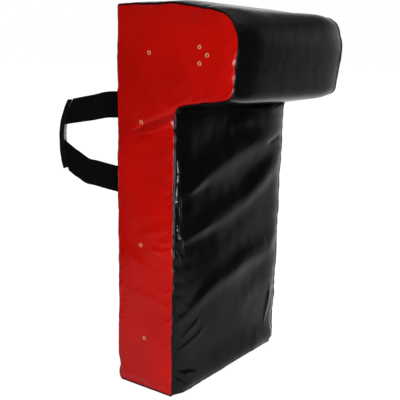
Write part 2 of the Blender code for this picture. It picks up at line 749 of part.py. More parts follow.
def grip_lean(height):
    """How fast the grip's outer face comes in with height."""
    offset = (height - GRIP_MIDDLE) / GRIP_HALF_LENGTH
    return -3 * GRIP_BOW / GRIP_HALF_LENGTH * offset * abs(offset)


def grip_point(side, over, deep, height):
    """A point of the grip: its place across the grip, and its depth square to the bowed outer face."""
    lean = grip_lean(height)
    slant = math.hypot(1.0, lean)
    return np.array((-side * over, grip_face(height) - deep / slant, height + deep * lean / slant))


def band_end(height, deep):
    """How far out a band's end reaches, its face or middle this deep behind the grip's inner face."""
    grip_depth = 2 * WEBBING_THICKNESS + CORE_THICKNESS + 3 * GAP + SEWN_TAB_SLACK
    return grip_face(height) - (grip_depth + deep) * math.hypot(1.0, grip_lean(height))


def make_band(name, side, hinge, root_height, change, shares):
    """Doubled webbing from the root line to the grip, its end turned along the grip as a sewn tab."""
    thickness = 2 * WEBBING_THICKNESS
    root = -WEBBING_THICKNESS / 2
    slope_share = 0.01

    def middle_height(share):
        return root_height + change * follow_shares(shares, min(share, 1.0))

    def place(column, row):
        share = column / BAND_STEPS
        climb = middle_height(share) - middle_height(max(share - slope_share, 0.0))
        half = WEBBING_WIDTH / 2 * math.hypot(1.0, climb / (slope_share * GRIP_REACH))
        height = middle_height(share) + half * (2 * row / BAND_ROWS - 1)
        end = band_end(height, thickness / 2)
        straight = end - TAB_RADIUS
        if column <= BAND_STEPS:
            out, over = root + (straight - root) * share, 0.0
        elif column <= BAND_STEPS + TURN_STEPS:
            angle = math.pi / 2 * (column - BAND_STEPS) / TURN_STEPS
            out = straight + TAB_RADIUS * math.sin(angle)
            over = TAB_RADIUS * (1 - math.cos(angle))
        else:
            out, over = end, TAB_RADIUS + TAB_REACH
        return np.array((-side * over, out, height))

    bm = bmesh.new()
    add_grid(bm, BAND_STEPS + TURN_STEPS + 1, BAND_ROWS, place)
    band = add_object(name, finished_mesh(name, bm), BLACK_WEBBING, hinge)
    solidify(band, thickness, 0.0)


def make_grip(label, side, hinge):
    """Webbing folded lengthwise round a flat core, which shows on the inner face past the fold."""
    half_thick = WEBBING_THICKNESS / 2
    fold_radius = (CORE_THICKNESS + WEBBING_THICKNESS) / 2 + GAP
    near = -GRIP_WIDTH / 2 + half_thick + fold_radius
    profile = [(GRIP_WIDTH / 2, half_thick), (0.0, half_thick)]
    for step in range(TURN_STEPS + 1):
        angle = math.pi * step / TURN_STEPS
        profile.append((
            near - fold_radius * math.sin(angle),
            half_thick + fold_radius * (1 - math.cos(angle)),
        ))
    profile.append((-GRIP_WIDTH / 2 + GRIP_FLAP, half_thick + 2 * fold_radius))

    def row_height(row):
        return GRIP_MIDDLE + GRIP_HALF_LENGTH * (2 * row / GRIP_ROWS - 1)

    def place(column, row):
        over, deep = profile[column]
        return grip_point(side, over, deep, row_height(row))

    bm = bmesh.new()
    add_grid(bm, len(profile) - 1, GRIP_ROWS, place)
    grip = add_object(label + "_hand_grip", finished_mesh(label + "_hand_grip", bm), BLACK_WEBBING, hinge)
    solidify(grip, WEBBING_THICKNESS, 0.0)

    def core_place(column, row):
        over = (near, GRIP_WIDTH / 2)[column]
        return grip_point(side, over, half_thick + fold_radius, row_height(row))

    bm = bmesh.new()
    add_grid(bm, 1, GRIP_ROWS, core_place)
    core = add_object(label + "_grip_core", finished_mesh(label + "_grip_core", bm), GREY_CORE, hinge)
    solidify(core, CORE_THICKNESS, 0.0)


def make_handle(label, side):
    """One handle: patch and sewn tails fixed to the back, bands and grip hinged at the root line."""
    root_x = side * (PAD_WIDTH / 2 - ROOT_INSET)
    name = label + "_anchor_patch"
    add_object(name, box_mesh(name, (
        (root_x - PATCH_WIDTH / 2, PATCH_FACE - PATCH_THICKNESS, LOWER_ROOT_HEIGHT - PATCH_OVERHANG),
        (root_x + PATCH_WIDTH / 2, PATCH_FACE, UPPER_ROOT_HEIGHT + PATCH_OVERHANG),
    )), BLACK_VINYL)
    for band, height in (("upper", UPPER_ROOT_HEIGHT), ("lower", LOWER_ROOT_HEIGHT)):
        name = label + "_" + band + "_tail"
        add_object(name, box_mesh(name, (
            (root_x - TAIL_REACH, TAIL_FACE - WEBBING_THICKNESS, height - WEBBING_WIDTH / 2),
            (root_x + TAIL_REACH, TAIL_FACE, height + WEBBING_WIDTH / 2),
        )), BLACK_WEBBING)
    hinge = add_empty(label + "_handle_hinge", (root_x, ROOT_DEPTH, 0.0), -side * math.radians(HANDLE_SPLAY))
    make_band(label + "_upper_band", side, hinge, UPPER_ROOT_HEIGHT, -UPPER_BAND_FALL, UPPER_FALL_SHARES)
    make_band(label + "_lower_band", side, hinge, LOWER_ROOT_HEIGHT, LOWER_BAND_RISE, LOWER_RISE_SHARES)
    make_grip(label, side, hinge)


clear_scene()
SHIELD = new_collection("tackle_shield")
CUTTERS = new_collection("cutters", hidden=True)
make_cross_panel("strike", "strike_face_panel", BLACK_VINYL)
make_cross_panel("nose", "nose_panel", BLACK_VINYL)
make_cross_panel("base", "base_panel", BLACK_VINYL)
make_back_panel()
make_foam()
make_zip_halves()
make_zip_slider()
for side_label, side_sign in (("left", -1), ("right", 1)):
    make_side_panel("side_panel_" + side_label, side_sign)
    make_piping("piping_" + side_label, side_sign)
    make_eyelets(side_label, side_sign)
    make_handle(side_label, side_sign)
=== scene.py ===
"""The looks of a tackle shield: glossy sewn vinyl over foam, webbing handles, eyelets and a zip.

Metres, +Z up. The origin is the middle of the pad's base, the strike face looks along -Y and the
handles stand out from the back, along +Y. Left is -X.
"""

import itertools
import math

import bmesh
import bpy
import numpy as np
from mathutils import Matrix, Vector, noise
from mathutils.bvhtree import BVHTree


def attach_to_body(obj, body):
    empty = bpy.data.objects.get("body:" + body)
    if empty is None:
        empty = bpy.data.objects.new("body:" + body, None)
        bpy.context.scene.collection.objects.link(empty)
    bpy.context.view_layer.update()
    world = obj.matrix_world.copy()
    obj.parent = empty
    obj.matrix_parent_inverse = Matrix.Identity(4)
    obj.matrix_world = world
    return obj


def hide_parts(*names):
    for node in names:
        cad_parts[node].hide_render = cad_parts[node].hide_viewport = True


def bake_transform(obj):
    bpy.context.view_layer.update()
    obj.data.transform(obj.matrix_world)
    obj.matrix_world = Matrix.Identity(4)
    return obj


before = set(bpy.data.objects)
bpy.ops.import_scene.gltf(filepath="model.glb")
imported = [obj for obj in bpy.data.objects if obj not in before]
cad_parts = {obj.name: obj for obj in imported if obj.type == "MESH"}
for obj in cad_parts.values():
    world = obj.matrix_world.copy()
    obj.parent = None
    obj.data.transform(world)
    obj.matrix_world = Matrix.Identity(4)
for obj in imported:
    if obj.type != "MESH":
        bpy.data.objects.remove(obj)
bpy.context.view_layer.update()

# Pad, measured at the seams of its side panels
PAD_WIDTH = 0.390
PAD_DEPTH = 0.138
PAD_HEIGHT = 0.750
NOSE_REACH = 0.140
NOSE_TOP_FALL = 0.0225
CHIN_DROP = 0.166
CHIN_SETBACK = 0.016
THROAT_DROP = 0.1855
TOP_BACK_RADIUS = 0.005
TOP_BEND_RADIUS = 0.150
NOSE_TOP_RADIUS = 0.060
CHIN_RADIUS = 0.019
THROAT_RADIUS = 0.020
BASE_EDGE_RADIUS = 0.006

# Cover: the sheet, its crown over the foam, and how far from a seam each panel is fully crowned
SHEET_THICKNESS = 0.0009
STRIKE_CROWN = 0.008
NOSE_CROWN = 0.007
SIDE_CROWN = 0.005
BACK_CROWN = 0.004
CROWN_RUN = 0.060
CROWN_RUN_ENDS = 0.030
BACK_CROWN_RUN = 0.0133
NOSE_CROWN_RUN = 0.095

# The pad's own unevenness: the far side's lean, the bulging foot, the nose's full far corner and the
# groove at the throat
FAR_LEAN_TOP = 0.008
FAR_LEAN_BASE = 0.007
TOE_BULGE = 0.010
TOE_HEIGHT = 0.075
FAR_NOSE_SWELL = 0.009
FAR_NOSE_SWELL_RUN = 0.045
FAR_NOSE_SWELL_LEAD = 0.022
THROAT_GROOVE = 0.007
THROAT_GROOVE_RUN = 0.011

# Seams: how far they are drawn in at the zip and the heel, how far they stray, and how the side panels
# roll into them and wrap round the welt at the back
ZIP_PINCH = 0.004
ZIP_PINCH_RUN = 0.013
HEEL_TUCK = 0.003
HEEL_TUCK_RUN = 0.009
PINCH_REACH = 0.009
WANDER_RUN = 0.025
SEAM_TUCK = 0.0008
SEAM_ROLL = 0.0034
SEAM_ALLOWANCE = 0.0015
SIDE_WRAP = 0.0022
WRAP_RUN = 0.012
WELT_TUCK = 0.0013
WELT_RADIUS = 0.0014
WELT_UNEVENNESS = 0.06
WELT_LUMP = 0.016
WELT_FULLEST = 1.12

# Foam, cut into a rear slab, a front slab and a nose block that reaches this far below the chin
FOAM_INSET = 0.0045
REAR_SLAB_DEPTH = 0.069
JOINT_GAP = 0.0006
NOSE_BLOCK_FOOT = 0.03

# Steps across a panel and round a section, and how close points are to count as one
ACROSS_STEPS = 96
REFINING = 2
WELT_SIDES = 10
EYELET_SIDES = 40
PLY_ROWS = 18
PLY_STEP = 0.0035
CUT_MERGING = 1e-6
BLOCK_MERGING = 1e-5

# Vent eyelets, each at its (y, z) place in the side view and clinched over a washer
EYELET_PLACES = (
    (-0.126, 0.673), (-0.142, 0.6595), (-0.126, 0.645), (-0.012, 0.662),
    (0.006, 0.535), (0.007, 0.297), (-0.002, 0.108),
)
EYELET_BORE_RADIUS = 0.0020
EYELET_BARREL_RADIUS = 0.0026
EYELET_FLANGE_RADIUS = 0.0042
EYELET_HEIGHT = 0.0011
FLANGE_LIFT = 0.00005
WASHER_RADIUS = 0.0045
WASHER_THICKNESS = 0.0005
WASHER_CHAMFER = 0.0001
CLEARANCE = 0.0003

# Zip, low in the back. Shapes are given as reaches along a piece and half widths, the pull's as shares
# of its own half width
ZIP_HEIGHT = 0.035
ZIP_SLOT_HEIGHT = 0.012
ZIP_SLOT_HALF_LENGTH = 0.170
TAPE_THICKNESS = 0.0007
TAPE_WIDTH = 0.013
TAPE_NEAR_EDGE = 0.0027
TOOTH_PITCH = 0.0076
TOOTH_THICKNESS = 0.0024
TOOTH_ROW_LENGTH = 0.316
TOOTH_TIP = 0.0004
TOOTH_SHAPE = ((0.0, 0.0011), (0.0004, 0.0015), (0.0011, 0.0015), (0.0017, 0.0009), (0.0028, 0.0013))
TOOTH_CORNER = 0.0002
TOOTH_ROUNDING = 0.00018
STOP_LENGTH = 0.004
STOP_CORNER = 0.0006
STOP_ROUNDING = 0.0005
SLIDER_LENGTH = 0.014
SLIDER_HEIGHT = 0.010
SLIDER_PLATE = 0.0011
PLATE_TAPER = 0.72
PLATE_CORNER = 0.0016
PLATE_ROUNDING = 0.0003
POST_REACHES = (0.0008, 0.0024)
POST_HALF_WIDTH = 0.0004
LIP_REACHES = (0.0012, 0.0066)
LIP_INSETS = (0.0009, 0.0001)
LIP_HEIGHT = 0.0010
FOLD_OVERLAP = 0.0003
FINE_CORNER = 0.00025
FINE_ROUNDING = 0.0001
BRIDGE_LENGTH = 0.0090
BRIDGE_BAR = 0.0011
BRIDGE_WIDTH = 0.0024
BRIDGE_CORNER = 0.0014
BRIDGE_STEP = 0.001
PULL_WIDTH = 0.0085
PULL_THICKNESS = 0.0012
PULL_PLAY = 0.0006
PULL_SHAPE = ((-0.0006, 1.0), (0.0085, 1.0), (0.0115, 0.66), (0.0215, 0.74), (0.0250, 1.0), (0.030, 0.86))
PULL_CORNER = 0.0010
PULL_ROUNDING = 0.0003
PULL_EYE_END = 0.0068
PULL_EYE_MARGIN = 0.0016
PULL_EYE_CORNER = 0.0006
PULL_HOLE_PLACE = 0.0262
PULL_HOLE_RADIUS = 0.0016

# Stitching. A tail's stitches are seated from TAIL_SIGHT forward, which lies between tail and band
STITCH_LENGTH = 0.0034
STITCH_GAP = 0.0009
THREAD_RADIUS = 0.00032
STITCH_MARGIN = 0.0035
STITCH_CORNER = 0.006
TAIL_BOX_REACHES = (0.0055, 0.0205)
TAIL_BOX_HALF_HEIGHT = 0.021
TAIL_SIGHT = 0.0835
GRIP_FRONT_ROWS = (-0.0045, 0.0035)
GRIP_BACK_ROWS = (-0.0045, 0.0015)
GRIP_ROW_END = 0.003

# Webbing handles. The shares give how much of a band's fall or rise it has at shares of its way out
WEBBING_WIDTH = 0.0525
WEBBING_THICKNESS = 0.0013
RIM_SHARE = 0.3
PLY_GAP = 0.00004
HANDLE_SPLAY = math.radians(15.9)
ROOT_OFFSET = 0.150
UPPER_ROOT_HEIGHT = 0.559
LOWER_ROOT_HEIGHT = 0.404
UPPER_BAND_FALL = 0.018
LOWER_BAND_RISE = 0.051
UPPER_FALL_SHARES = ((0.0, 0.0), (0.18, -0.06), (0.34, -0.02), (0.62, 0.42), (0.80, 0.68), (1.0, 0.98))
LOWER_RISE_SHARES = (
    (0.0, 0.0), (0.18, 0.11), (0.40, 0.22), (0.54, 0.29), (0.64, 0.33), (0.82, 0.60), (1.0, 0.94))
TAIL_REACH = 0.023
ROOT_BEND_RADIUS = 0.0036
PATCH_WIDTH = 0.058
PATCH_OVERHANG = 0.032
PATCH_THICKNESS = 0.0009
PATCH_CORNER = 0.008
PATCH_LIFT = 0.00035
PATCH_RIM_RUN = 0.003
PATCH_LUMP = 0.02
PATCH_SINK = 0.0002
PATCH_RIM = 0.0002
GRIP_REACH = 0.1580
GRIP_CREST = 0.482
GRIP_LOW = 0.4240
GRIP_HIGH = 0.5665
GRIP_BOW_ABOVE = 4.9
GRIP_BOW_POWER = 2.2
GRIP_BOW_BELOW = 2.45
GRIP_WIDTH = 0.018
GRIP_FLAP = 0.0130
CORE_OVERHANG = 0.0080
CORE_ENDS = 0.022
CORE_THICKNESS = 0.0016
TAB_REACH = 0.006
TAB_RADIUS = 0.003

BACK = PAD_DEPTH / 2
FACE = -PAD_DEPTH / 2
HALF_WIDTH = PAD_WIDTH / 2
CHIN_HEIGHT = PAD_HEIGHT - CHIN_DROP
THROAT_HEIGHT = PAD_HEIGHT - THROAT_DROP
BACK_SKIN = BACK + BACK_CROWN
PATCH_LOW = LOWER_ROOT_HEIGHT - PATCH_OVERHANG
PATCH_HIGH = UPPER_ROOT_HEIGHT + PATCH_OVERHANG
PATCH_FACE = BACK_SKIN + CLEARANCE + PATCH_THICKNESS
TAIL_MIDDLE = PATCH_FACE + CLEARANCE + WEBBING_THICKNESS / 2
ROOT_DEPTH = TAIL_MIDDLE + 1.5 * WEBBING_THICKNESS + CLEARANCE

# Camera and the room's own light
AMBIENT = 0.34
CAMERA_PLACE = (-1.2115, -0.8611, 0.6607)
CAMERA_HEADING = math.radians(54.234)
CAMERA_PITCH = math.radians(-11.602)
CAMERA_ROLL = math.radians(1.021)
CAMERA_LENS = 63.86
CAMERA_SENSOR = 36.0

# Finishes


class Signal:
    """A value on its way through a material. Arithmetic on it adds Math nodes."""

    def __init__(self, finish, socket):
        self.finish = finish
        self.socket = socket

    def math(self, operation, *others):
        return self.finish.math(operation, self, *others)

    def __add__(self, other):
        return self.math("ADD", other)

    def __mul__(self, other):
        return self.math("MULTIPLY", other)

    def __sub__(self, other):
        return self.math("SUBTRACT", other)

    def __rsub__(self, other):
        return self.finish.math("SUBTRACT", other, self)

    __radd__ = __add__
    __rmul__ = __mul__

    def clamped(self):
        return self.math("MAXIMUM", 0.0).math("MINIMUM", 1.0)

    def between(self, low, high):
        """Nought below the low value, one above the high one, and a smooth rise from one to the other."""
        return self.finish.node(
            "ShaderNodeMapRange", {"interpolation_type": "SMOOTHSTEP"},
            {"Value": self, "From Min": low, "From Max": high})

    def beside(self, output):
        """Another output of the node that this value comes from."""
        return Signal(self.finish, self.socket.node.outputs[output])


class Finish:
    """The nodes of one material or of the world. Colours are given as red, green and blue."""

    def __init__(self, tree):
        self.tree = tree
        tree.nodes.clear()

    def node(self, kind, settings=None, inputs=None, output=0):
        made = self.tree.nodes.new(kind)
        for name, value in (settings or {}).items():
            setattr(made, name, value)
        for name, value in (inputs or {}).items():
            socket = made.inputs[name]
            if isinstance(value, Signal):
                self.tree.links.new(value.socket, socket)
            else:
                socket.default_value = (*value, 1.0) if socket.type == "RGBA" else value
        return Signal(self, made.outputs[output] if made.outputs else None)

    def math(self, operation, *values):
        return self.node("ShaderNodeMath", {"operation": operation}, dict(enumerate(values)))

    def vector(self, operation, *values, output=0):
        return self.node("ShaderNodeVectorMath", {"operation": operation}, dict(enumerate(values)), output)

    def place(self, stretch=(1.0, 1.0, 1.0), kind="Object"):
        """Where on the piece, in metres, with each axis stretched."""
        return self.vector("MULTIPLY", self.node("ShaderNodeTexCoord", output=kind), stretch)

    def noise(self, place, scale, detail=2.0, rough=0.5):
        return self.node(
            "ShaderNodeTexNoise", None,
            {"Vector": place, "Scale": scale, "Detail": detail, "Roughness": rough})

    def cells(self, place, scale):
        return self.node("ShaderNodeTexVoronoi", None, {"Vector": place, "Scale": scale})

    def mix(self, share, first, second):
        """One colour blended into another."""
        return self.node(
            "ShaderNodeMix", {"data_type": "RGBA"}, {0: share, 6: first, 7: second}, output=2)

    def surface(self, colour, roughness, height, depth, metallic=0.0, extras=None):
        """The finished surface, its fine relief a height of 0 to 1 that is this deep in metres."""
        relief = self.node("ShaderNodeBump", None, {"Strength": 1.0, "Distance": depth, "Height": height})
        shader = self.node("ShaderNodeBsdfPrincipled", None, {
            "Base Color": colour, "Roughness": roughness, "Metallic": metallic, "Normal": relief,
            **(extras or {})})
        self.node("ShaderNodeOutputMaterial", None, {"Surface": shader})


def vinyl(finish, colour, shade, haze, gloss, shine=0.5):
    """Glossy coated sheet: a fine grain, a slightly wavy gloss, faint smudges and thin scuffs."""
    place = finish.place()
    cloud = finish.noise(place, 7.0, 3.0).between(0.3, 0.7)
    smudge = finish.noise(place, 23.0, 4.0, 0.6).between(0.45, 0.75)
    scuff = finish.noise(finish.place((1.0, 1.0, 0.16)), 240.0, 2.0, 0.6).between(0.66, 0.80)
    scuff = scuff * finish.noise(place, 11.0).between(0.5, 0.65)
    grain = finish.cells(place, 1500.0)
    waves = finish.noise(place, 95.0)
    finish.surface(
        finish.mix(scuff * 0.25, finish.mix(cloud, colour, shade), haze),
        gloss + smudge * 0.07 + scuff * 0.16,
        waves * 0.9 + grain * 0.1, 0.00022, extras={"Specular IOR Level": shine})


def woven(finish, colour, shade, warp, weft):
    """Flat webbing woven in ribs, laid out by its own length and width in metres."""
    along = finish.node("ShaderNodeSeparateXYZ", None, {0: finish.place(kind="UV")})
    ribs = (along.beside(1) * (2 * math.pi / warp)).math("SINE")
    picks = (along * (2 * math.pi / weft) + ribs.math("SIGN") * (math.pi / 2)).math("SINE")
    height = ribs.math("ABSOLUTE") * 0.55 + (picks * 0.5 + 0.5) * 0.45
    fuzz = finish.noise(finish.place(), 1800.0)
    wear = finish.noise(finish.place(), 38.0, 3.0).between(0.45, 0.75)
    # Painted shade: the weave's hollows are coloured darker than its ribs, on top of their relief. The worn
    # patches are lighter at random.
    finish.surface(
        finish.mix(height * 0.55 + wear * 0.35, shade, colour), 0.86 - 0.12 * height,
        height * 0.85 + fuzz * 0.15, 0.00035,
        extras={"Specular IOR Level": 0.12, "Sheen Weight": 0.03, "Sheen Roughness": 0.4})


def twisted_thread(finish, colour, shade):
    twist = finish.noise(finish.place(), 2600.0, 1.0)
    finish.surface(finish.mix(twist.between(0.35, 0.65), shade, colour), 0.6 + 0.15 * twist, twist, 0.00008)


def pressed_felt(finish, colour, shade):
    fibre = finish.noise(finish.place(), 1400.0, 4.0, 0.7)
    clump = finish.noise(finish.place(), 210.0, 3.0)
    finish.surface(
        finish.mix(clump.between(0.35, 0.7), shade, colour), 0.92 + 0.06 * fibre,
        fibre * 0.6 + clump * 0.4, 0.0004, extras={"Sheen Weight": 0.2})


def foam(finish, colour, shade):
    """Cut slab foam, open cells all over."""
    cell = finish.cells(finish.place(), 700.0)
    bloom = finish.noise(finish.place(), 15.0, 3.0)
    finish.surface(finish.mix(bloom.between(0.35, 0.65), shade, colour), 0.9 + 0.08 * cell, cell, 0.0006)


def metal(finish, colour, shade, gloss, metallic):
    """Pressed or cast metal: a little tarnish, and finer scratches."""
    tarnish = finish.noise(finish.place(), 260.0, 3.0).between(0.42, 0.72)
    scratch = finish.noise(finish.place((1.0, 0.2, 1.0)), 3000.0)
    finish.surface(
        finish.mix(tarnish, colour, shade), gloss + tarnish * 0.18 + scratch * 0.08,
        scratch, 0.00006, metallic)


def moulded(finish, colour, shade):
    """Moulded plastic: satin, with a fine matt grain."""
    grain = finish.noise(finish.place(), 2200.0)
    cloud = finish.noise(finish.place(), 90.0).between(0.35, 0.65)
    finish.surface(finish.mix(cloud, shade, colour), 0.38 + 0.12 * grain, grain, 0.00004)


# What each finish is, its colour and its shade, and then its recipe's own settings
FINISH_RECIPES = {
    "red_vinyl": (vinyl, (0.62, 0.0032, 0.0003), (0.52, 0.0022, 0.0002), (0.70, 0.05, 0.02), 0.17, 0.42),
    "black_vinyl": (vinyl, (0.0045, 0.0045, 0.005), (0.003, 0.003, 0.0035), (0.05, 0.05, 0.05), 0.17),
    "black_piping": (vinyl, (0.004, 0.004, 0.0045), (0.002, 0.002, 0.0025), (0.03, 0.03, 0.03), 0.24),
    "black_webbing": (woven, (0.0045, 0.0045, 0.005), (0.0012, 0.0012, 0.0014), 0.0022, 0.0016),
    "black_nylon": (woven, (0.016, 0.016, 0.018), (0.006, 0.006, 0.007), 0.0011, 0.0009),
    "black_thread": (twisted_thread, (0.02, 0.02, 0.022), (0.006, 0.006, 0.007)),
    "moulded_nylon": (moulded, (0.014, 0.014, 0.015), (0.008, 0.008, 0.009)),
    "grey_core": (pressed_felt, (0.62, 0.60, 0.57), (0.45, 0.43, 0.41)),
    "cream_foam": (foam, (0.80, 0.74, 0.58), (0.72, 0.65, 0.48)),
    "blue_grey_foam": (foam, (0.30, 0.34, 0.40), (0.24, 0.27, 0.33)),
    "brass": (metal, (1.0, 0.34, 0.19), (0.85, 0.24, 0.12), 0.40, 0.25),
    "zinc": (metal, (0.30, 0.30, 0.31), (0.16, 0.16, 0.17), 0.32, 1.0),
}
FINISHES = {}


def new_finish(name):
    FINISHES[name] = bpy.data.materials.new(name)
    FINISHES[name].use_nodes = True
    return Finish(FINISHES[name].node_tree)


for finish_name, (recipe, *recipe_settings) in FINISH_RECIPES.items():
    recipe(new_finish(finish_name), *recipe_settings)


# The pad's side outline

# Walked from the base's back edge up the back, over the nose and down the strike face. Each corner has
# its place, its radius, the steps in half of its arc and the steps of the straight run after it. The
# counts of opposite runs match, so the side panels can be gridded.
OUTLINE_CORNERS = (
    (BACK, 0.0, BASE_EDGE_RADIUS, 3, 137),
    (BACK, THROAT_HEIGHT, 0.0, 0, 43),
    (BACK, PAD_HEIGHT, TOP_BACK_RADIUS, 3, 30),
    (FACE, PAD_HEIGHT, TOP_BEND_RADIUS, 3, 27),
    (FACE - NOSE_REACH, PAD_HEIGHT - NOSE_TOP_FALL, NOSE_TOP_RADIUS, 12, 28),
    (FACE - NOSE_REACH + CHIN_SETBACK, CHIN_HEIGHT, CHIN_RADIUS, 6, 31),
    (FACE, THROAT_HEIGHT, THROAT_RADIUS, 5, 132),
    (FACE, 0.0, BASE_EDGE_RADIUS, 3, 30),
)
CORNER_COUNT = len(OUTLINE_CORNERS)
BASE_BACK, WAIST, TOP_BACK, TOP_BEND, NOSE_TOP, CHIN, THROAT, BASE_FRONT = range(CORNER_COUNT)


def outward(direction):
    """The outline is walked with the pad on its left, so outwards is to its right."""
    return np.array((direction[1], -direction[0]))


def corner_arc(index):
    """Points and outward normals along a rounded corner, from one straight run to the next."""
    before, corner, after = (
        np.array(OUTLINE_CORNERS[at % CORNER_COUNT][:2]) for at in (index - 1, index, index + 1))
    radius, half_steps = OUTLINE_CORNERS[index][2:4]
    along = (corner - before) / np.linalg.norm(corner - before)
    onward = (after - corner) / np.linalg.norm(after - corner)
    if not half_steps:
        return [(corner, outward(along))]
    turn = math.atan2(along[0] * onward[1] - along[1] * onward[0], along @ onward)
    signed_radius = math.copysign(radius, turn)
    start = corner - along * radius * math.tan(abs(turn) / 2)
    centre = start - outward(along) * signed_radius
    arc = []
    for angle in turn * np.arange(2 * half_steps + 1) / (2 * half_steps):
        heading = along * math.cos(angle) - outward(along) * math.sin(angle)
        arc.append((centre + outward(heading) * signed_radius, outward(heading)))
    return arc


def walk_outline():
    """Every station of the outline, its outward normal, and the station in the middle of each corner."""
    stations = []
    middles = []
    for index in range(CORNER_COUNT):
        half_steps, line_steps = OUTLINE_CORNERS[index][3:5]
        following = (index + 1) % CORNER_COUNT
        arc = corner_arc(index)
        next_arc = corner_arc(following)
        middles.append(len(stations))
        stations += arc[half_steps:]
        start = arc[-1][0]
        run = next_arc[0][0] - start
        run_normal = outward(run / np.linalg.norm(run))
        stations += [(start + run * step / line_steps, run_normal) for step in range(1, line_steps)]
        stations += next_arc[:OUTLINE_CORNERS[following][3]]
    places, normals = (np.array(column) for column in zip(*stations))
    return places, normals, middles


OUTLINE, OUTLINE_NORMALS, CORNER_STATIONS = walk_outline()
STATION_COUNT = len(OUTLINE)
STEP_LENGTHS = np.linalg.norm(np.roll(OUTLINE, -1, axis=0) - OUTLINE, axis=1)
WALKED = np.concatenate([[0.0], np.cumsum(STEP_LENGTHS[:-1])])


def stations_between(first, last):
    """Station numbers from one to another, walking on past the end of the list if need be."""
    count = (last - first) % STATION_COUNT
    return [(first + step) % STATION_COUNT for step in range(count + 1)]


BASE_FRONT_END = CORNER_STATIONS[BASE_FRONT] + OUTLINE_CORNERS[BASE_FRONT][3]
BASE_BACK_END = STATION_COUNT - OUTLINE_CORNERS[BASE_BACK][3]
THROAT_SEAM = CORNER_STATIONS[THROAT] + 1
TOP_SEAM = CORNER_STATIONS[TOP_BACK]

# The stations of the four panels that run across the pad, each panel's crown and how far that runs
PANEL_STATIONS = {
    "back": stations_between(BASE_BACK_END, TOP_SEAM),
    "nose": stations_between(TOP_SEAM, THROAT_SEAM),
    "strike": stations_between(THROAT_SEAM, BASE_FRONT_END),
    "base": stations_between(BASE_FRONT_END, BASE_BACK_END),
}
PANEL_CROWNS = {
    "back": (BACK_CROWN, BACK_CROWN_RUN),
    "nose": (NOSE_CROWN, NOSE_CROWN_RUN),
    "strike": (STRIKE_CROWN, CROWN_RUN),
    "base": (0.0, CROWN_RUN),
}


# Relief of the sewn sheet


def smooth_step(value, low, high):
    share = np.clip((value - low) / (high - low), 0.0, 1.0)
    return share * share * (3 - 2 * share)


def rise(distance, run):
    """Share of a panel's crown at a distance from its seam: none at the seam, all of it past the run."""
    return 1 - (1 - np.clip(distance / run, 0.0, 1.0)) ** 3


def ripple(places, size, seed):
    """A smooth unevenness between about -1 and 1, its lumps this far apart."""
    return np.array([
        noise.noise(Vector((a / size, b / size, seed * 7.31))) for a, b in places]) * 2


def ripples(places, *layers):
    """Several of them, each of a height, a size and a seed."""
    return sum(height * ripple(places, size, seed) for height, size, seed in layers)


def fold(places, curve, height, width_above, width_below):
    """A soft fold along a curve: how high it lifts the sheet at each place.

    It starts narrow and fades out at both ends. Its two flanks, to the left and right of the curve
    as it is walked, have their own widths, so that one can be steeper.
    """
    curve = np.array(curve)
    starts = curve[:-1]
    spans = curve[1:] - starts
    lengths = np.linalg.norm(spans, axis=1)
    offset = places[:, None, :] - starts
    share = np.clip((offset * spans).sum(axis=2) / lengths**2, 0.0, 1.0)
    distance = np.linalg.norm(offset - spans * share[:, :, None], axis=2)
    nearest = distance.argmin(axis=1)
    rows = np.arange(len(places))
    span, off = spans[nearest], offset[rows, nearest]
    on_left = span[:, 0] * off[:, 1] - span[:, 1] * off[:, 0] > 0
    walked = np.concatenate([[0.0], np.cumsum(lengths)])
    along = (walked[nearest] + share[rows, nearest] * lengths[nearest]) / walked[-1]
    width = np.where(on_left, width_above, width_below) * (0.4 + 0.6 * smooth_step(along, 0.0, 0.4))
    fade = smooth_step(along, -0.02, 0.25) * smooth_step(1 - along, -0.02, 0.25)
    return height * (0.25 + 0.75 * fade) * np.exp(-(distance[rows, nearest] / width) ** 2)


def puckers(distance, along, reach, spacing, slant, seed):
    """Small gathers square to a seam, strongest at it: their lift, from about -1 to 1."""
    places = np.column_stack([along + slant * distance, distance * 0.35])
    lift = ripple(places, spacing, seed) + 0.5 * ripple(places, spacing * 0.45, seed + 1)
    return lift * np.exp(-distance / reach) * smooth_step(distance, 0.0, 0.004)


def crinkles(distance, along, reach, spacing, slant, seed):
    """Sharp-crested creases that run slantwise from a seam: their lift, from 0 to 1."""
    places = np.column_stack([along + slant * distance, distance * 0.45])
    crest = 1 - np.abs(ripple(places, spacing, seed))
    return np.clip(crest, 0.0, 1.0) ** 3 * np.exp(-distance / reach) * smooth_step(distance, 0.0, 0.003)


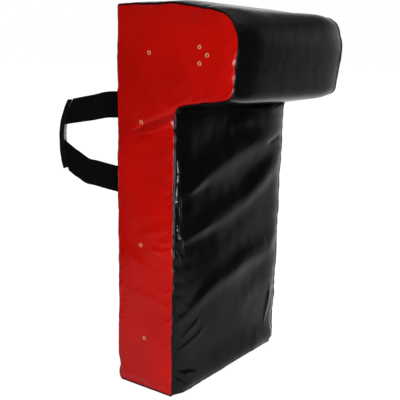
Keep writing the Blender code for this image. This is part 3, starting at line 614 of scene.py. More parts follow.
# Folds of the strike face, as (x, z) points, their height and the widths of their two flanks
STRIKE_FOLDS = (
    (((-0.193, 0.392), (-0.116, 0.430), (-0.011, 0.462), (0.102, 0.486), (0.180, 0.508)),
     0.0075, 0.030, 0.026),
    (((-0.183, 0.312), (-0.091, 0.336), (0.032, 0.364), (0.127, 0.408), (0.185, 0.440)),
     0.0064, 0.028, 0.024),
    (((-0.188, 0.150), (-0.094, 0.190), (0.047, 0.230), (0.139, 0.236), (0.176, 0.266)),
     0.0044, 0.024, 0.024),
    (((0.114, 0.474), (0.140, 0.479), (0.169, 0.487)), -0.0016, 0.004, 0.006),
    (((-0.178, 0.115), (-0.126, 0.137), (-0.113, 0.145)), 0.0016, 0.006, 0.007),
    (((-0.184, 0.093), (-0.126, 0.107), (-0.098, 0.120)), 0.0016, 0.006, 0.007),
    (((0.138, 0.056), (0.157, 0.104), (0.164, 0.139)), 0.0022, 0.008, 0.007),
    (((-0.020, 0.524), (0.080, 0.533), (0.172, 0.546)), 0.0046, 0.022, 0.032),
    (((-0.1890, 0.476), (-0.1872, 0.440), (-0.1885, 0.398)), 0.0019, 0.0034, 0.0015),
    (((-0.1850, 0.412), (-0.1832, 0.376), (-0.1805, 0.346)), 0.0020, 0.0034, 0.0015),
    (((-0.1885, 0.352), (-0.1845, 0.327), (-0.1770, 0.304)), 0.0021, 0.0036, 0.0016),
    (((-0.1850, 0.326), (-0.1780, 0.300), (-0.1690, 0.286)), 0.0020, 0.0036, 0.0016),
    (((-0.1895, 0.304), (-0.1840, 0.282), (-0.1785, 0.268)), 0.0018, 0.0034, 0.0015),
    (((-0.1890, 0.200), (-0.1855, 0.165), (-0.1800, 0.140)), 0.0018, 0.0034, 0.0015),
    (((-0.193, 0.058), (-0.160, 0.029), (-0.137, 0.009)), 0.0018, 0.007, 0.006),
    (((-0.190, 0.036), (-0.172, 0.022), (-0.150, 0.016)), 0.0016, 0.0045, 0.004),
    (((-0.176, 0.046), (-0.150, 0.040), (-0.128, 0.026)), 0.0013, 0.005, 0.006),
)

# Folds of the red side panels, as (y, z) points
SIDE_FOLDS = (
    (((0.033, 0.514), (0.011, 0.523), (-0.007, 0.532), (-0.037, 0.543), (-0.085, 0.561)),
     -0.0038, 0.0042, 0.0060),
    (((0.010, 0.513), (-0.028, 0.525), (-0.052, 0.535), (-0.085, 0.553)), 0.0030, 0.0060, 0.0044),
    (((-0.013, 0.580), (-0.049, 0.573), (-0.083, 0.566)), 0.0026, 0.010, 0.007),
    (((0.030, 0.492), (0.000, 0.500), (-0.040, 0.523)), 0.0016, 0.012, 0.006),
    (((0.064, 0.462), (0.040, 0.455), (0.020, 0.446)), -0.0014, 0.008, 0.006),
    (((-0.062, 0.335), (-0.030, 0.330), (0.004, 0.322)), 0.0013, 0.007, 0.009),
    (((0.066, 0.300), (0.030, 0.268), (-0.010, 0.254)), 0.0013, 0.012, 0.010),
    (((-0.060, 0.180), (-0.010, 0.196), (0.030, 0.200)), 0.0012, 0.010, 0.012),
    (((0.060, 0.016), (0.020, 0.022), (-0.030, 0.016)), 0.0016, 0.006, 0.008),
    (((0.066, 0.040), (0.050, 0.026), (0.044, 0.008)), 0.0020, 0.006, 0.005),
    (((-0.066, 0.300), (-0.046, 0.291), (-0.024, 0.293)), 0.0020, 0.005, 0.006),
    (((-0.066, 0.315), (-0.054, 0.309), (-0.040, 0.312)), 0.0015, 0.004, 0.005),
    (((-0.160, 0.700), (-0.120, 0.712), (-0.060, 0.706)), 0.0012, 0.016, 0.012),
)


# Each panel's relief, from its places on the pad, how far they lie along it and how far from its seams


def strike_relief(x, z, walked, seam):
    places = np.column_stack([x, z])
    lift = sum(fold(places, *one) for one in STRIKE_FOLDS)
    along_bands = np.column_stack([x * 0.95 + z * 0.25, (z - x * 0.25) * 2.2])
    lift = lift + ripples(along_bands, (0.0006, 0.110, 1)) + ripples(places, (0.00018, 0.030, 2))
    near = HALF_WIDTH + x
    gathered = smooth_step(z, 0.27, 0.33) * smooth_step(0.49 - z, 0.0, 0.05)
    gathered = np.maximum(gathered, smooth_step(z, 0.12, 0.16) * smooth_step(0.22 - z, 0.0, 0.04))
    lift = lift + 0.0010 * puckers(near, z, 0.018, 0.020, 0.6, 3)
    lift = lift + 0.0015 * gathered * crinkles(near, z, 0.009, 0.010, -0.9, 7)
    lift = lift + 0.0010 * puckers(HALF_WIDTH - x, z, 0.014, 0.020, -0.4, 4)
    lift = lift + 0.0005 * puckers(THROAT_HEIGHT - z, x, 0.016, 0.034, 0.5, 5)
    lift = lift + 0.0010 * puckers(z, x, 0.014, 0.022, 0.5, 6)
    return lift * smooth_step(seam, 0.0, 0.006)


def nose_relief(x, z, walked, seam):
    places = np.column_stack([x, walked])
    lift = ripples(places * (0.7, 1.0), (0.0006, 0.140, 11)) + ripples(places, (0.00008, 0.028, 12))
    lift = lift + 0.0006 * puckers(HALF_WIDTH + x, walked, 0.012, 0.022, 0.3, 13)
    lift = lift + 0.0008 * puckers(HALF_WIDTH - x, walked, 0.014, 0.020, -0.3, 14)
    return lift * smooth_step(seam, 0.0, 0.010)


def back_relief(x, z, walked, seam):
    """It lies flat behind the handles' patches and beside the zip."""
    places = np.column_stack([x, z])
    lift = ripples(places * (1.0, 1.4), (0.0010, 0.090, 21)) + ripples(places, (0.0003, 0.024, 22))
    lift = lift + 0.0008 * puckers(HALF_WIDTH + x, z, 0.016, 0.020, 0.4, 23)
    lift = lift + 0.0008 * puckers(HALF_WIDTH - x, z, 0.016, 0.022, -0.4, 24)
    lift = lift * smooth_step(seam, 0.0, 0.010)
    patch_middle = (UPPER_ROOT_HEIGHT + LOWER_ROOT_HEIGHT) / 2
    behind_patch = (
        smooth_step(0.036 - np.abs(np.abs(x) - ROOT_OFFSET), 0.0, 0.008)
        * smooth_step(0.117 - np.abs(z - patch_middle), 0.0, 0.010))
    beside_zip = smooth_step(0.026 - np.abs(z - ZIP_HEIGHT), 0.0, 0.010)
    return lift * (1 - behind_patch) * (1 - beside_zip)


def base_relief(x, z, walked, seam):
    return np.zeros_like(x)


def side_relief(y, z, seam, seed):
    places = np.column_stack([y, z])
    lift = ripples(places * (1.0, 0.7), (0.0017, 0.075, seed)) + ripples(places, (0.0004, 0.026, seed + 1))
    lift = lift + sum(fold(places, *one) for one in SIDE_FOLDS)
    lift = lift + 0.0011 * puckers(seam, z + 0.7 * y, 0.013, 0.017, 0.0, seed + 2)
    return lift * smooth_step(seam, 0.0, 0.006)


PANEL_RELIEFS = {"strike": strike_relief, "nose": nose_relief, "back": back_relief, "base": base_relief}


def seam_wander(side):
    """How far each station's seam strays from its line: outwards in the side view, and across the pad."""
    turns = 2 * math.pi * WALKED / (WALKED[-1] + STEP_LENGTHS[-1])
    ring = np.column_stack([np.cos(turns), np.sin(turns)])
    above_floor = smooth_step(OUTLINE[:, 1], 0.0, 0.03)
    out = ripples(ring, (0.0008, 0.13, 31 + side), (0.0007, 0.045, 33 + side))
    over = ripples(ring, (0.0007, 0.18, 35 + side), (0.0004, 0.07, 37 + side))
    return out * above_floor, over * above_floor


def far_nose_swell():
    """How far each station of the right seam stands out: the nose's upper corner is squarer there."""
    corner = WALKED[CORNER_STATIONS[NOSE_TOP]] - FAR_NOSE_SWELL_LEAD
    return FAR_NOSE_SWELL * smooth_step(1 - np.abs(WALKED - corner) / FAR_NOSE_SWELL_RUN, 0.0, 1.0)


def heel_pinch():
    """How far the seams are drawn in at the back: beside the zip, and under it at the heel."""
    height = OUTLINE[:, 1]
    beside_zip = np.exp(-((height - ZIP_HEIGHT) / ZIP_PINCH_RUN) ** 2)
    at_heel = np.exp(-(height / HEEL_TUCK_RUN) ** 2)
    return -(ZIP_PINCH * beside_zip + HEEL_TUCK * at_heel) * AT_BACK


# At the back the side panels wrap round the welt, which is tucked in behind them
AT_BACK = smooth_step(OUTLINE[:, 0], BACK - WRAP_RUN, BACK)
SEAM_WANDER = {side: seam_wander(side) for side in (-1, 1)}
SEAM_SWELL = {-1: np.zeros(STATION_COUNT), 1: far_nose_swell()}
SEAM_PINCH = heel_pinch()


def toe(y, z):
    """How far the foot of the strike face bulges forward."""
    return TOE_BULGE * smooth_step(TOE_HEIGHT - z, 0.0, TOE_HEIGHT) * smooth_step(-y, 0.02, -FACE)


def lean(z):
    """How far the right side stands out past its line: it leans out towards the top."""
    return FAR_LEAN_TOP * smooth_step(z, 0.22, 0.62) - FAR_LEAN_BASE * smooth_step(0.26 - z, 0.0, 0.26)


def lean_of(side, z):
    return lean(z) if side > 0 else 0.0


def across_places():
    """Places across the pad, from one side panel to the other, closer together near the seams."""
    steps = np.linspace(-1.0, 1.0, ACROSS_STEPS + 1)
    edge = HALF_WIDTH - SEAM_ALLOWANCE
    return edge * (0.5 * steps + 0.5 * np.sin(steps * math.pi / 2))


def refined(values, refining):
    """More steps in a run of values, evenly between those it has."""
    steps = np.arange((len(values) - 1) * refining + 1) / refining
    index = np.minimum(steps.astype(int), len(values) - 2)
    share = (steps - index).reshape(-1, *[1] * (values.ndim - 1))
    return values[index] * (1 - share) + values[index + 1] * share


def cross_points(panel, inset=0.0):
    """A cross panel's grid of points, station by station across the pad.

    With an inset it is the foam's own surface, plainer and in fewer steps, that far inside the cover.
    """
    crown, run = PANEL_CROWNS[panel]
    refining = 1 if inset else REFINING
    stations = np.array(PANEL_STATIONS[panel])
    across = refined(across_places(), refining)
    if inset:
        across = across * (HALF_WIDTH - inset) / across[-1]
    panel_walked = np.concatenate([[0.0], np.cumsum(STEP_LENGTHS[stations[:-1]])])
    walked = np.repeat(refined(panel_walked, refining), len(across))
    x = np.tile(across, len(walked) // len(across))

    def spread(values):
        """What each station of the panel has, at every point across it."""
        return np.repeat(refined(values[stations], refining), len(across), axis=0)

    place = spread(OUTLINE)
    normal = spread(OUTLINE_NORMALS)
    height = place[:, 1]
    along_seam = np.minimum(walked, walked[-1] - walked)
    above_base = np.maximum(height - BASE_EDGE_RADIUS, 0.0)
    side_seam = HALF_WIDTH - SEAM_ALLOWANCE - np.abs(x)
    lift = rise(np.minimum(along_seam, above_base), min(run, CROWN_RUN_ENDS))
    lift = lift * rise(HALF_WIDTH - np.abs(x), run) * crown - inset
    if panel in ("strike", "nose"):
        from_throat = walked if panel == "strike" else walked[-1] - walked
        groove = THROAT_GROOVE * (1 - rise(from_throat, THROAT_GROOVE_RUN))
        lift = lift - groove * smooth_step(side_seam, 0.0, 0.025)
    over = np.zeros_like(x)
    if not inset:
        lift = lift + PANEL_RELIEFS[panel](x, height, walked, np.minimum(side_seam, along_seam))
        for side, (out, sideways) in SEAM_WANDER.items():
            from_side = HALF_WIDTH - side * x
            near = np.exp(-from_side / WANDER_RUN)
            lift = lift + near * spread(out)
            lift = lift + np.exp(-from_side / PINCH_REACH) * spread(SEAM_PINCH)
            over = over + side * near * spread(sideways)
    lift = lift + spread(SEAM_SWELL[1]) * np.clip((x + 0.05) / (HALF_WIDTH + 0.05), 0.0, 1.0)
    over = over + lean(height) * np.clip(x / HALF_WIDTH, 0.0, 1.0)
    y = place[:, 0] + normal[:, 0] * lift
    y = y - toe(y, height) * smooth_step(side_seam, 0.0, 0.030)
    z = np.maximum(height + normal[:, 1] * lift, inset)
    return np.column_stack([x + over, y, z]).reshape(-1, len(across), 3)


def distance_to_seam(points, edge):
    """How far points of the side view lie from the side seam."""
    best = np.full(len(points), np.inf)
    for start, end in zip(edge, np.roll(edge, -1, axis=0)):
        span = end - start
        length = span @ span
        if length == 0.0:
            continue
        share = np.clip(((points - start) @ span) / length, 0.0, 1.0)
        off = points - start - share[:, None] * span
        best = np.minimum(best, (off**2).sum(axis=1))
    return np.sqrt(best)


def coons(bottom, top, left, right):
    """A grid of points between four runs of points."""
    u = np.linspace(0.0, 1.0, len(bottom))[None, :, None]
    v = np.linspace(0.0, 1.0, len(left))[:, None, None]
    points = (1 - v) * bottom[None] + v * top[None] + (1 - u) * left[:, None] + u * right[:, None]
    points = points - (1 - u) * (1 - v) * bottom[0] - u * (1 - v) * bottom[-1]
    return points - (1 - u) * v * top[0] - u * v * top[-1]


def side_blocks(edge):
    """Three grids of side-view points: the body below the throat, the body above it, and the nose."""
    def run(first, last):
        return edge[stations_between(CORNER_STATIONS[first], CORNER_STATIONS[last])]

    def straight(first, last, steps):
        start, end = edge[CORNER_STATIONS[first]], edge[CORNER_STATIONS[last]]
        return start + (end - start) * np.linspace(0.0, 1.0, steps + 1)[:, None]

    base = run(BASE_FRONT, BASE_BACK)
    waist = straight(THROAT, WAIST, len(base) - 1)
    chest = run(WAIST, TOP_BACK)
    neck = straight(THROAT, TOP_BEND, len(chest) - 1)
    return (
        coons(base, waist, run(THROAT, BASE_FRONT)[::-1], run(BASE_BACK, WAIST)),
        coons(waist, run(TOP_BACK, TOP_BEND)[::-1], neck, chest),
        coons(run(CHIN, THROAT), run(TOP_BEND, NOSE_TOP)[::-1], run(NOSE_TOP, CHIN)[::-1], neck),
    )


# Making pieces


def new_piece(name, bm, finish, smooth=True):
    mesh = bpy.data.meshes.new(name)
    bm.to_mesh(mesh)
    bm.free()
    if smooth:
        mesh.shade_smooth()
    mesh.materials.append(FINISHES[finish])
    piece = bpy.data.objects.new(name, mesh)
    bpy.context.scene.collection.objects.link(piece)
    return piece


def solid_piece(name, bm, finish, sharp_past=None, smooth=True):
    """A closed piece with its faces turned outwards, and its edges sharp past this many degrees."""
    bmesh.ops.recalc_face_normals(bm, faces=bm.faces)
    piece = new_piece(name, bm, finish, smooth)
    if sharp_past:
        piece.data.set_sharp_from_angle(angle=math.radians(sharp_past))
    return piece


def attach(piece, body, slot, *nodes):
    """Ties a piece to the body that it moves with, and hides the solids that it stands in for. The slot is
    not used.
    """
    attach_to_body(piece, body)
    if nodes:
        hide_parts(*nodes)
    return piece


def add_points_grid(bm, points, spread=None):
    """Quads over a grid of points, with the places of their corners on the flat sheet as UVs."""
    rows, columns = points.shape[:2]
    verts = [bm.verts.new(point) for point in points.reshape(-1, 3)]
    layer = bm.loops.layers.uv.verify() if spread is not None else None
    for row in range(rows - 1):
        for column in range(columns - 1):
            corners = ((row, column), (row, column + 1), (row + 1, column + 1), (row + 1, column))
            face = bm.faces.new([verts[r * columns + c] for r, c in corners])
            if layer:
                for loop, (r, c) in zip(face.loops, corners):
                    loop[layer].uv = spread[r, c]


def add_tube(bm, rings, closed=False):
    """Faces between rings of points, and over both ends unless the tube runs back into itself."""
    rings = [[bm.verts.new(point) for point in ring] for ring in rings]
    for first, second in zip(rings, rings[1:] + (rings[:1] if closed else [])):
        for index in range(len(first)):
            after = (index + 1) % len(first)
            bm.faces.new((first[index], first[after], second[after], second[index]))
    if not closed:
        bm.faces.new(rings[0][::-1])
        bm.faces.new(rings[-1])


PAD_MIDDLE = Vector((0.0, 0.0, PAD_HEIGHT / 2))


def face_outwards(bm):
    """Turns an open sheet so that its faces look away from the middle of the pad."""
    bm.normal_update()
    looks = sum(
        (face.calc_center_median() - PAD_MIDDLE).dot(face.normal) * face.calc_area() for face in bm.faces)
    if looks < 0:
        bmesh.ops.reverse_faces(bm, faces=bm.faces)


def apply_modifier(piece, kind, **settings):
    """Works a modifier into a piece's mesh for good."""
    modifier = piece.modifiers.new(kind.title(), kind)
    for name, value in settings.items():
        setattr(modifier, name, value)
    graph = bpy.context.evaluated_depsgraph_get()
    mesh = bpy.data.meshes.new_from_object(piece.evaluated_get(graph))
    piece.modifiers.clear()
    piece.data = mesh


def thicken(piece, thickness, offset=-1.0):
    apply_modifier(piece, "SOLIDIFY", thickness=thickness, offset=offset)


def soften_rim(piece, width):
    apply_modifier(
        piece, "BEVEL", width=width, segments=2, limit_method="ANGLE", angle_limit=math.radians(60))


def flat_piece(name, points, finish, thickness, spread=None, outwards=False, offset=0.0, rim=None):
    """A sheet over a grid of points, with its thickness and a softened rim."""
    bm = bmesh.new()
    add_points_grid(bm, points, spread)
    if outwards:
        face_outwards(bm)
    piece = new_piece(name, bm, finish)
    thicken(piece, thickness, offset)
    soften_rim(piece, rim or thickness * RIM_SHARE)
    return piece


# The sewn cover


def cut_across(bm, place, normal, **options):
    geometry = bm.verts[:] + bm.edges[:] + bm.faces[:]
    return bmesh.ops.bisect_plane(
        bm, geom=geometry, dist=CUT_MERGING, plane_co=place, plane_no=normal, **options)


def cut_zip_slot(bm):
    """Opens the back sheet along the zip."""
    low = ZIP_HEIGHT - ZIP_SLOT_HEIGHT / 2
    high = ZIP_HEIGHT + ZIP_SLOT_HEIGHT / 2
    for height in (low, high):
        cut_across(bm, (0, 0, height), (0, 0, 1))
    for end in (-ZIP_SLOT_HALF_LENGTH, ZIP_SLOT_HALF_LENGTH):
        cut_across(bm, (end, 0, 0), (1, 0, 0))
    inside = []
    for face in bm.faces:
        middle = face.calc_center_median()
        if abs(middle.x) < ZIP_SLOT_HALF_LENGTH and low < middle.z < high and middle.y > 0:
            inside.append(face)
    bmesh.ops.delete(bm, geom=inside, context="FACES")


def make_cross_cover(panel, node):
    bm = bmesh.new()
    add_points_grid(bm, cross_points(panel))
    face_outwards(bm)
    if panel == "back":
        cut_zip_slot(bm)
    cover = new_piece(f"{panel}_cover", bm, "black_vinyl")
    thicken(cover, SHEET_THICKNESS)
    attach(cover, "pad", "black_vinyl", node)


def side_edge(side):
    """The rim of a side panel, in the side view."""
    stands = SEAM_WANDER[side][0] + SEAM_SWELL[side] + SEAM_PINCH + SIDE_WRAP * AT_BACK - SEAM_ALLOWANCE
    edge = OUTLINE + OUTLINE_NORMALS * stands[:, None]
    edge[:, 1] = np.maximum(edge[:, 1], WELT_RADIUS)
    return edge


def side_reach(side, flat, edge):
    """How far out from the pad's middle a side panel lies at points of the side view."""
    seam = distance_to_seam(flat, edge)
    nearest = ((flat[:, None, :] - edge[None, ::4]) ** 2).sum(axis=2).argmin(axis=1) * 4
    reach = HALF_WIDTH + SIDE_CROWN * rise(seam, CROWN_RUN)
    reach = reach + side_relief(flat[:, 0], flat[:, 1], seam, 41 + 5 * side)
    reach = reach - SEAM_TUCK * (1 - rise(seam, SEAM_ROLL))
    reach = reach + SEAM_WANDER[side][1][nearest] * np.exp(-seam / WANDER_RUN)
    return reach + lean_of(side, flat[:, 1])


def add_side_block(bm, block, side, reach):
    """A grid of side-view points, set this far out on one side."""
    flat = block.reshape(-1, 2)
    add_points_grid(bm, np.column_stack([side * reach, flat]).reshape(*block.shape[:2], 3))


def make_side_cover(label, side):
    edge = side_edge(side)
    bm = bmesh.new()
    for block in side_blocks(edge):
        block = refined(refined(block, REFINING).swapaxes(0, 1), REFINING)
        add_side_block(bm, block, side, side_reach(side, block.reshape(-1, 2), edge))
    bmesh.ops.remove_doubles(bm, verts=bm.verts, dist=BLOCK_MERGING)
    face_outwards(bm)
    cover = new_piece(f"red_cover_{label}", bm, "red_vinyl")
    thicken(cover, SHEET_THICKNESS)
    punch_eyelet_holes(cover, side)
    attach(cover, "pad", "red_vinyl", f"side_panel_{label}")


def make_welt(label, side):
    """The round welt sewn into the seam, a little lumpy along its length."""
    out, over = SEAM_WANDER[side]
    out = out + SEAM_SWELL[side] + SEAM_PINCH
    over = over - WELT_TUCK * AT_BACK
    uneven = ripple(np.column_stack([WALKED, WALKED * 0]), WELT_LUMP, 51)
    radii = WELT_RADIUS * np.minimum(1 + WELT_UNEVENNESS * uneven, WELT_FULLEST)
    sideways = np.array((side, 0.0, 0.0))
    rings = []
    for station in range(STATION_COUNT):
        y, z = OUTLINE[station] + OUTLINE_NORMALS[station] * out[station]
        z = max(z, WELT_RADIUS)
        centre = np.array((side * (HALF_WIDTH + over[station] + lean_of(side, z)), y, z))
        normal = np.array((0.0, *OUTLINE_NORMALS[station]))
        rings.append([
            centre + radii[station] * (math.cos(a) * normal + math.sin(a) * sideways)
            for a in np.linspace(0.0, 2 * math.pi, WELT_SIDES, endpoint=False)])
    bm = bmesh.new()
    add_tube(bm, rings, closed=True)
    attach(solid_piece(f"welt_{label}", bm, "black_piping"), "pad", "black_piping", f"piping_{label}")


# Vent eyelets


def punch_eyelet_holes(cover, side):
    bm = bmesh.new()
    for y, z in EYELET_PLACES:
        bmesh.ops.create_cone(
            bm, cap_ends=True, segments=24, radius1=EYELET_BARREL_RADIUS, radius2=EYELET_BARREL_RADIUS,
            depth=0.05,
            matrix=Matrix.Translation((side * HALF_WIDTH, y, z)) @ Matrix.Rotation(math.pi / 2, 4, "Y"))
    punch = new_piece("eyelet_punch", bm, "red_vinyl", smooth=False)
    apply_modifier(cover, "BOOLEAN", operation="DIFFERENCE", solver="EXACT", object=punch)
    bpy.data.objects.remove(punch)


def eyelet_profile():
    """Up the bore, over the rolled crest, out to the flange and back down the barrel."""
    bottom = -SHEET_THICKNESS - CLEARANCE - WASHER_THICKNESS
    middle = (EYELET_BORE_RADIUS + EYELET_FLANGE_RADIUS) / 2
    half = (EYELET_FLANGE_RADIUS - EYELET_BORE_RADIUS) / 2
    crest = []
    for step in range(9):
        angle = math.pi * (1 - step / 8)
        height = EYELET_HEIGHT * (0.25 + 0.75 * math.sin(angle) ** 0.8)
        crest.append((middle + half * math.cos(angle), height))
    return [
        (EYELET_BORE_RADIUS, bottom), (EYELET_BORE_RADIUS, EYELET_HEIGHT * 0.45), *crest,
        (EYELET_FLANGE_RADIUS - 0.0002, FLANGE_LIFT), (EYELET_BARREL_RADIUS, FLANGE_LIFT),
        (EYELET_BARREL_RADIUS, bottom)]


def washer_profile():
    top = -SHEET_THICKNESS - CLEARANCE / 3
    bottom = top - WASHER_THICKNESS
    bore = EYELET_BARREL_RADIUS + WASHER_CHAMFER
    return [
        (bore, top), (WASHER_RADIUS - WASHER_CHAMFER, top), (WASHER_RADIUS, top - WASHER_CHAMFER),
        (WASHER_RADIUS, bottom), (bore, bottom)]


def turned(profile, placed):
    """Rings of points: a profile of (radius, height) points turned round an axis and put in place."""
    turns = [2 * math.pi * k / EYELET_SIDES for k in range(EYELET_SIDES)]
    return [
        [placed @ Vector((radius * math.cos(a), radius * math.sin(a), height)) for a in turns]
        for radius, height in profile]


def make_eyelets(label, side):
    """Every vent eyelet of one side panel and the washer it is clinched over, square to the sheet there."""
    edge = side_edge(side)
    flat = np.array(EYELET_PLACES)
    step = 0.004
    reaches = side_reach(side, flat, edge)
    slopes_back = (side_reach(side, flat + (step, 0.0), edge) - reaches) / step
    slopes_up = (side_reach(side, flat + (0.0, step), edge) - reaches) / step
    for number, (y, z) in enumerate(EYELET_PLACES, start=1):
        axis = Vector((side, -slopes_back[number - 1], -slopes_up[number - 1])).normalized()
        seat = Matrix.Translation((side * reaches[number - 1], y, z))
        placed = seat @ axis.to_track_quat("Z", "Y").to_matrix().to_4x4()
        for kind, profile in (("eyelet", eyelet_profile()), ("eyelet_washer", washer_profile())):
            node = f"{kind}_{label}_{number}"
            bm = bmesh.new()
            add_tube(bm, turned(profile, placed), closed=True)
            attach(solid_piece(f"brass_{node}", bm, "brass", sharp_past=50), "pad", "brass", node)


# Webbing handles


def follow_shares(shares, at):
    """A smooth curve through a table of shares, read at one place."""
    places, values = zip(*shares)
    slopes = np.gradient(values, places)
    index = min(max(np.searchsorted(places, at) - 1, 0), len(places) - 2)
    span = places[index + 1] - places[index]
    t = (at - places[index]) / span
    return (
        values[index] * (2 * t**3 - 3 * t**2 + 1)
        + slopes[index] * span * (t**3 - 2 * t**2 + t)
        + values[index + 1] * (3 * t**2 - 2 * t**3)
        + slopes[index + 1] * span * (t**3 - t**2)
    )


def grip_face(height):
    """How far out from the handle's root the grip's outer face lies at a height: it is bowed outwards."""
    if height > GRIP_CREST:
        return GRIP_REACH - GRIP_BOW_ABOVE * (height - GRIP_CREST) ** GRIP_BOW_POWER
    return GRIP_REACH - GRIP_BOW_BELOW * (height - GRIP_CREST) ** 2


def grip_lean(height):
    """How fast the grip's outer face comes in with height."""
    step = 0.001
    return (grip_face(height + step) - grip_face(height - step)) / (2 * step)


def band_end(height):
    """How far out a band reaches at a height, to end under the grip."""
    held = min(max(height, GRIP_LOW), GRIP_HIGH)
    under = 3 * WEBBING_THICKNESS + CORE_THICKNESS + 5 * CLEARANCE
    return grip_face(held) - under * math.hypot(1.0, grip_lean(held))


def handle_frame(side):
    """Turns a handle's own places, across and out from its root line, into the pad's."""
    return Matrix.Translation((side * ROOT_OFFSET, ROOT_DEPTH, 0.0)) @ Matrix.Rotation(
        -side * HANDLE_SPLAY, 4, "Z")


def filleted(corners, radius, spacing):
    """A path through corners in a plane, rounded at each and stepped evenly."""
    corners = [Vector(corner) for corner in corners]
    path = [corners[0]]
    for before, corner, after in zip(corners, corners[1:], corners[2:]):
        back = (before - corner).normalized()
        onward = (after - corner).normalized()
        half = back.angle(onward) / 2
        start = corner + back * radius / math.tan(half)
        end = corner + onward * radius / math.tan(half)
        centre = corner + (back + onward).normalized() * radius / math.sin(half)
        for step in range(13):
            arm = (start - centre).lerp(end - centre, step / 12)
            path.append(centre + arm.normalized() * radius)
    path.append(corners[-1])
    stepped = [path[0]]
    for first, second in zip(path, path[1:]):
        count = max(1, math.ceil((second - first).length / spacing))
        stepped += [first.lerp(second, k / count) for k in range(1, count + 1)]
    return stepped


def square_to(path, index):
    """The way to the left of a path at one of its points."""
    ahead = path[min(index + 1, len(path) - 1)] - path[max(index - 1, 0)]
    return Vector((-ahead.y, ahead.x)).normalized()


def ply_path(side, way, end):
    """A ply in plan: from its tail on the pad, round the root and out to a tab under the grip."""
    out_of_pad = handle_frame(side).inverted()
    apart = way * (WEBBING_THICKNESS / 2 + PLY_GAP)
    tail_end = out_of_pad @ Vector((side * ROOT_OFFSET + way * TAIL_REACH, TAIL_MIDDLE, 0.0))
    tail_line = out_of_pad @ Vector((side * ROOT_OFFSET, TAIL_MIDDLE, 0.0))
    slope = (tail_end.y - tail_line.y) / (tail_end.x - tail_line.x)
    root = (apart, tail_line.y + (apart - tail_line.x) * slope)
    far = end + (apart * side)
    tab = -side * (TAB_RADIUS + TAB_REACH)
    path = filleted([tail_end.to_2d(), root, (apart, far), (tab, far)], ROOT_BEND_RADIUS, PLY_STEP)
    return path, (tail_end.to_2d() - Vector(root)).length


def make_band(label, side, band, root_height, change, shares):
    """One band of a handle: two plies of webbing, sewn flat to the pad each way from the root line."""
    end = band_end(root_height + change)
    for ply, way in (("outer", side), ("inner", -side)):
        path, tail_length = ply_path(side, way, end)
        steps = [(second - first).length for first, second in zip(path, path[1:])]
        walked = list(itertools.accumulate(steps, initial=0.0))
        points = np.zeros((len(path), PLY_ROWS + 1, 3))
        spread = np.zeros((len(path), PLY_ROWS + 1, 2))
        for index, place in enumerate(path):
            square = square_to(path, index)
            share = min(max(place.y / end, 0.0), 1.0)
            middle = root_height + change * follow_shares(shares, share)
            climb = (follow_shares(shares, min(share + 0.01, 1.0))
                     - follow_shares(shares, max(share - 0.01, 0.0))) * change
            half = WEBBING_WIDTH / 2 * math.hypot(1.0, climb / (0.02 * end))
            along = (walked[index] - tail_length) / end
            loose = smooth_step(along, 0.08, 0.4) * smooth_step(1 - along, 0.04, 0.3)
            for row in range(PLY_ROWS + 1):
                over = 2 * row / PLY_ROWS - 1
                height = middle + half * over
                wave = 0.0011 * math.sin(along * 7.0 + over * 0.9) + 0.0004 * way * side * (1 - over**2)
                across, out = place + square * (loose * wave)
                if out > 0.0:
                    out = out * (band_end(height) / end)
                points[index, row] = (across, out, height)
                spread[index, row] = (walked[index], over * WEBBING_WIDTH / 2)
        name = f"{label}_{band}_band_{ply}_ply"
        piece = flat_piece(name, points, "black_webbing", WEBBING_THICKNESS, spread)
        piece.data.transform(handle_frame(side))
        if ply == "outer":
            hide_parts(f"{label}_{band}_tail", f"{label}_{band}_band")
        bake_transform(piece)


def grip_point(side, over, deep, height):
    """A point of the grip: its place across the grip, and its depth square to the bowed outer face."""
    slope = grip_lean(height)
    slant = math.hypot(1.0, slope)
    return Vector((-side * over, grip_face(height) - deep / slant, height + deep * slope / slant))


def grip_grid(side, profile, rows, inset):
    """Points and flat places of a strip with this profile, swept up the grip to this far from its ends."""
    into_pad = handle_frame(side)
    steps = [math.dist(first, second) for first, second in zip(profile, profile[1:])]
    reach = list(itertools.accumulate(steps, initial=0.0))
    points = np.zeros((rows + 1, len(profile), 3))
    spread = np.zeros((rows + 1, len(profile), 2))
    for row in range(rows + 1):
        height = GRIP_LOW + inset + (GRIP_HIGH - GRIP_LOW - 2 * inset) * row / rows
        wave = 0.0004 * math.sin(height * 95.0) + 0.0003 * math.sin(height * 211.0 + 1.0)
        for column, (over, deep) in enumerate(profile):
            points[row, column] = into_pad @ grip_point(side, over + wave, deep, height)
            spread[row, column] = (height, reach[column])
    return points, spread


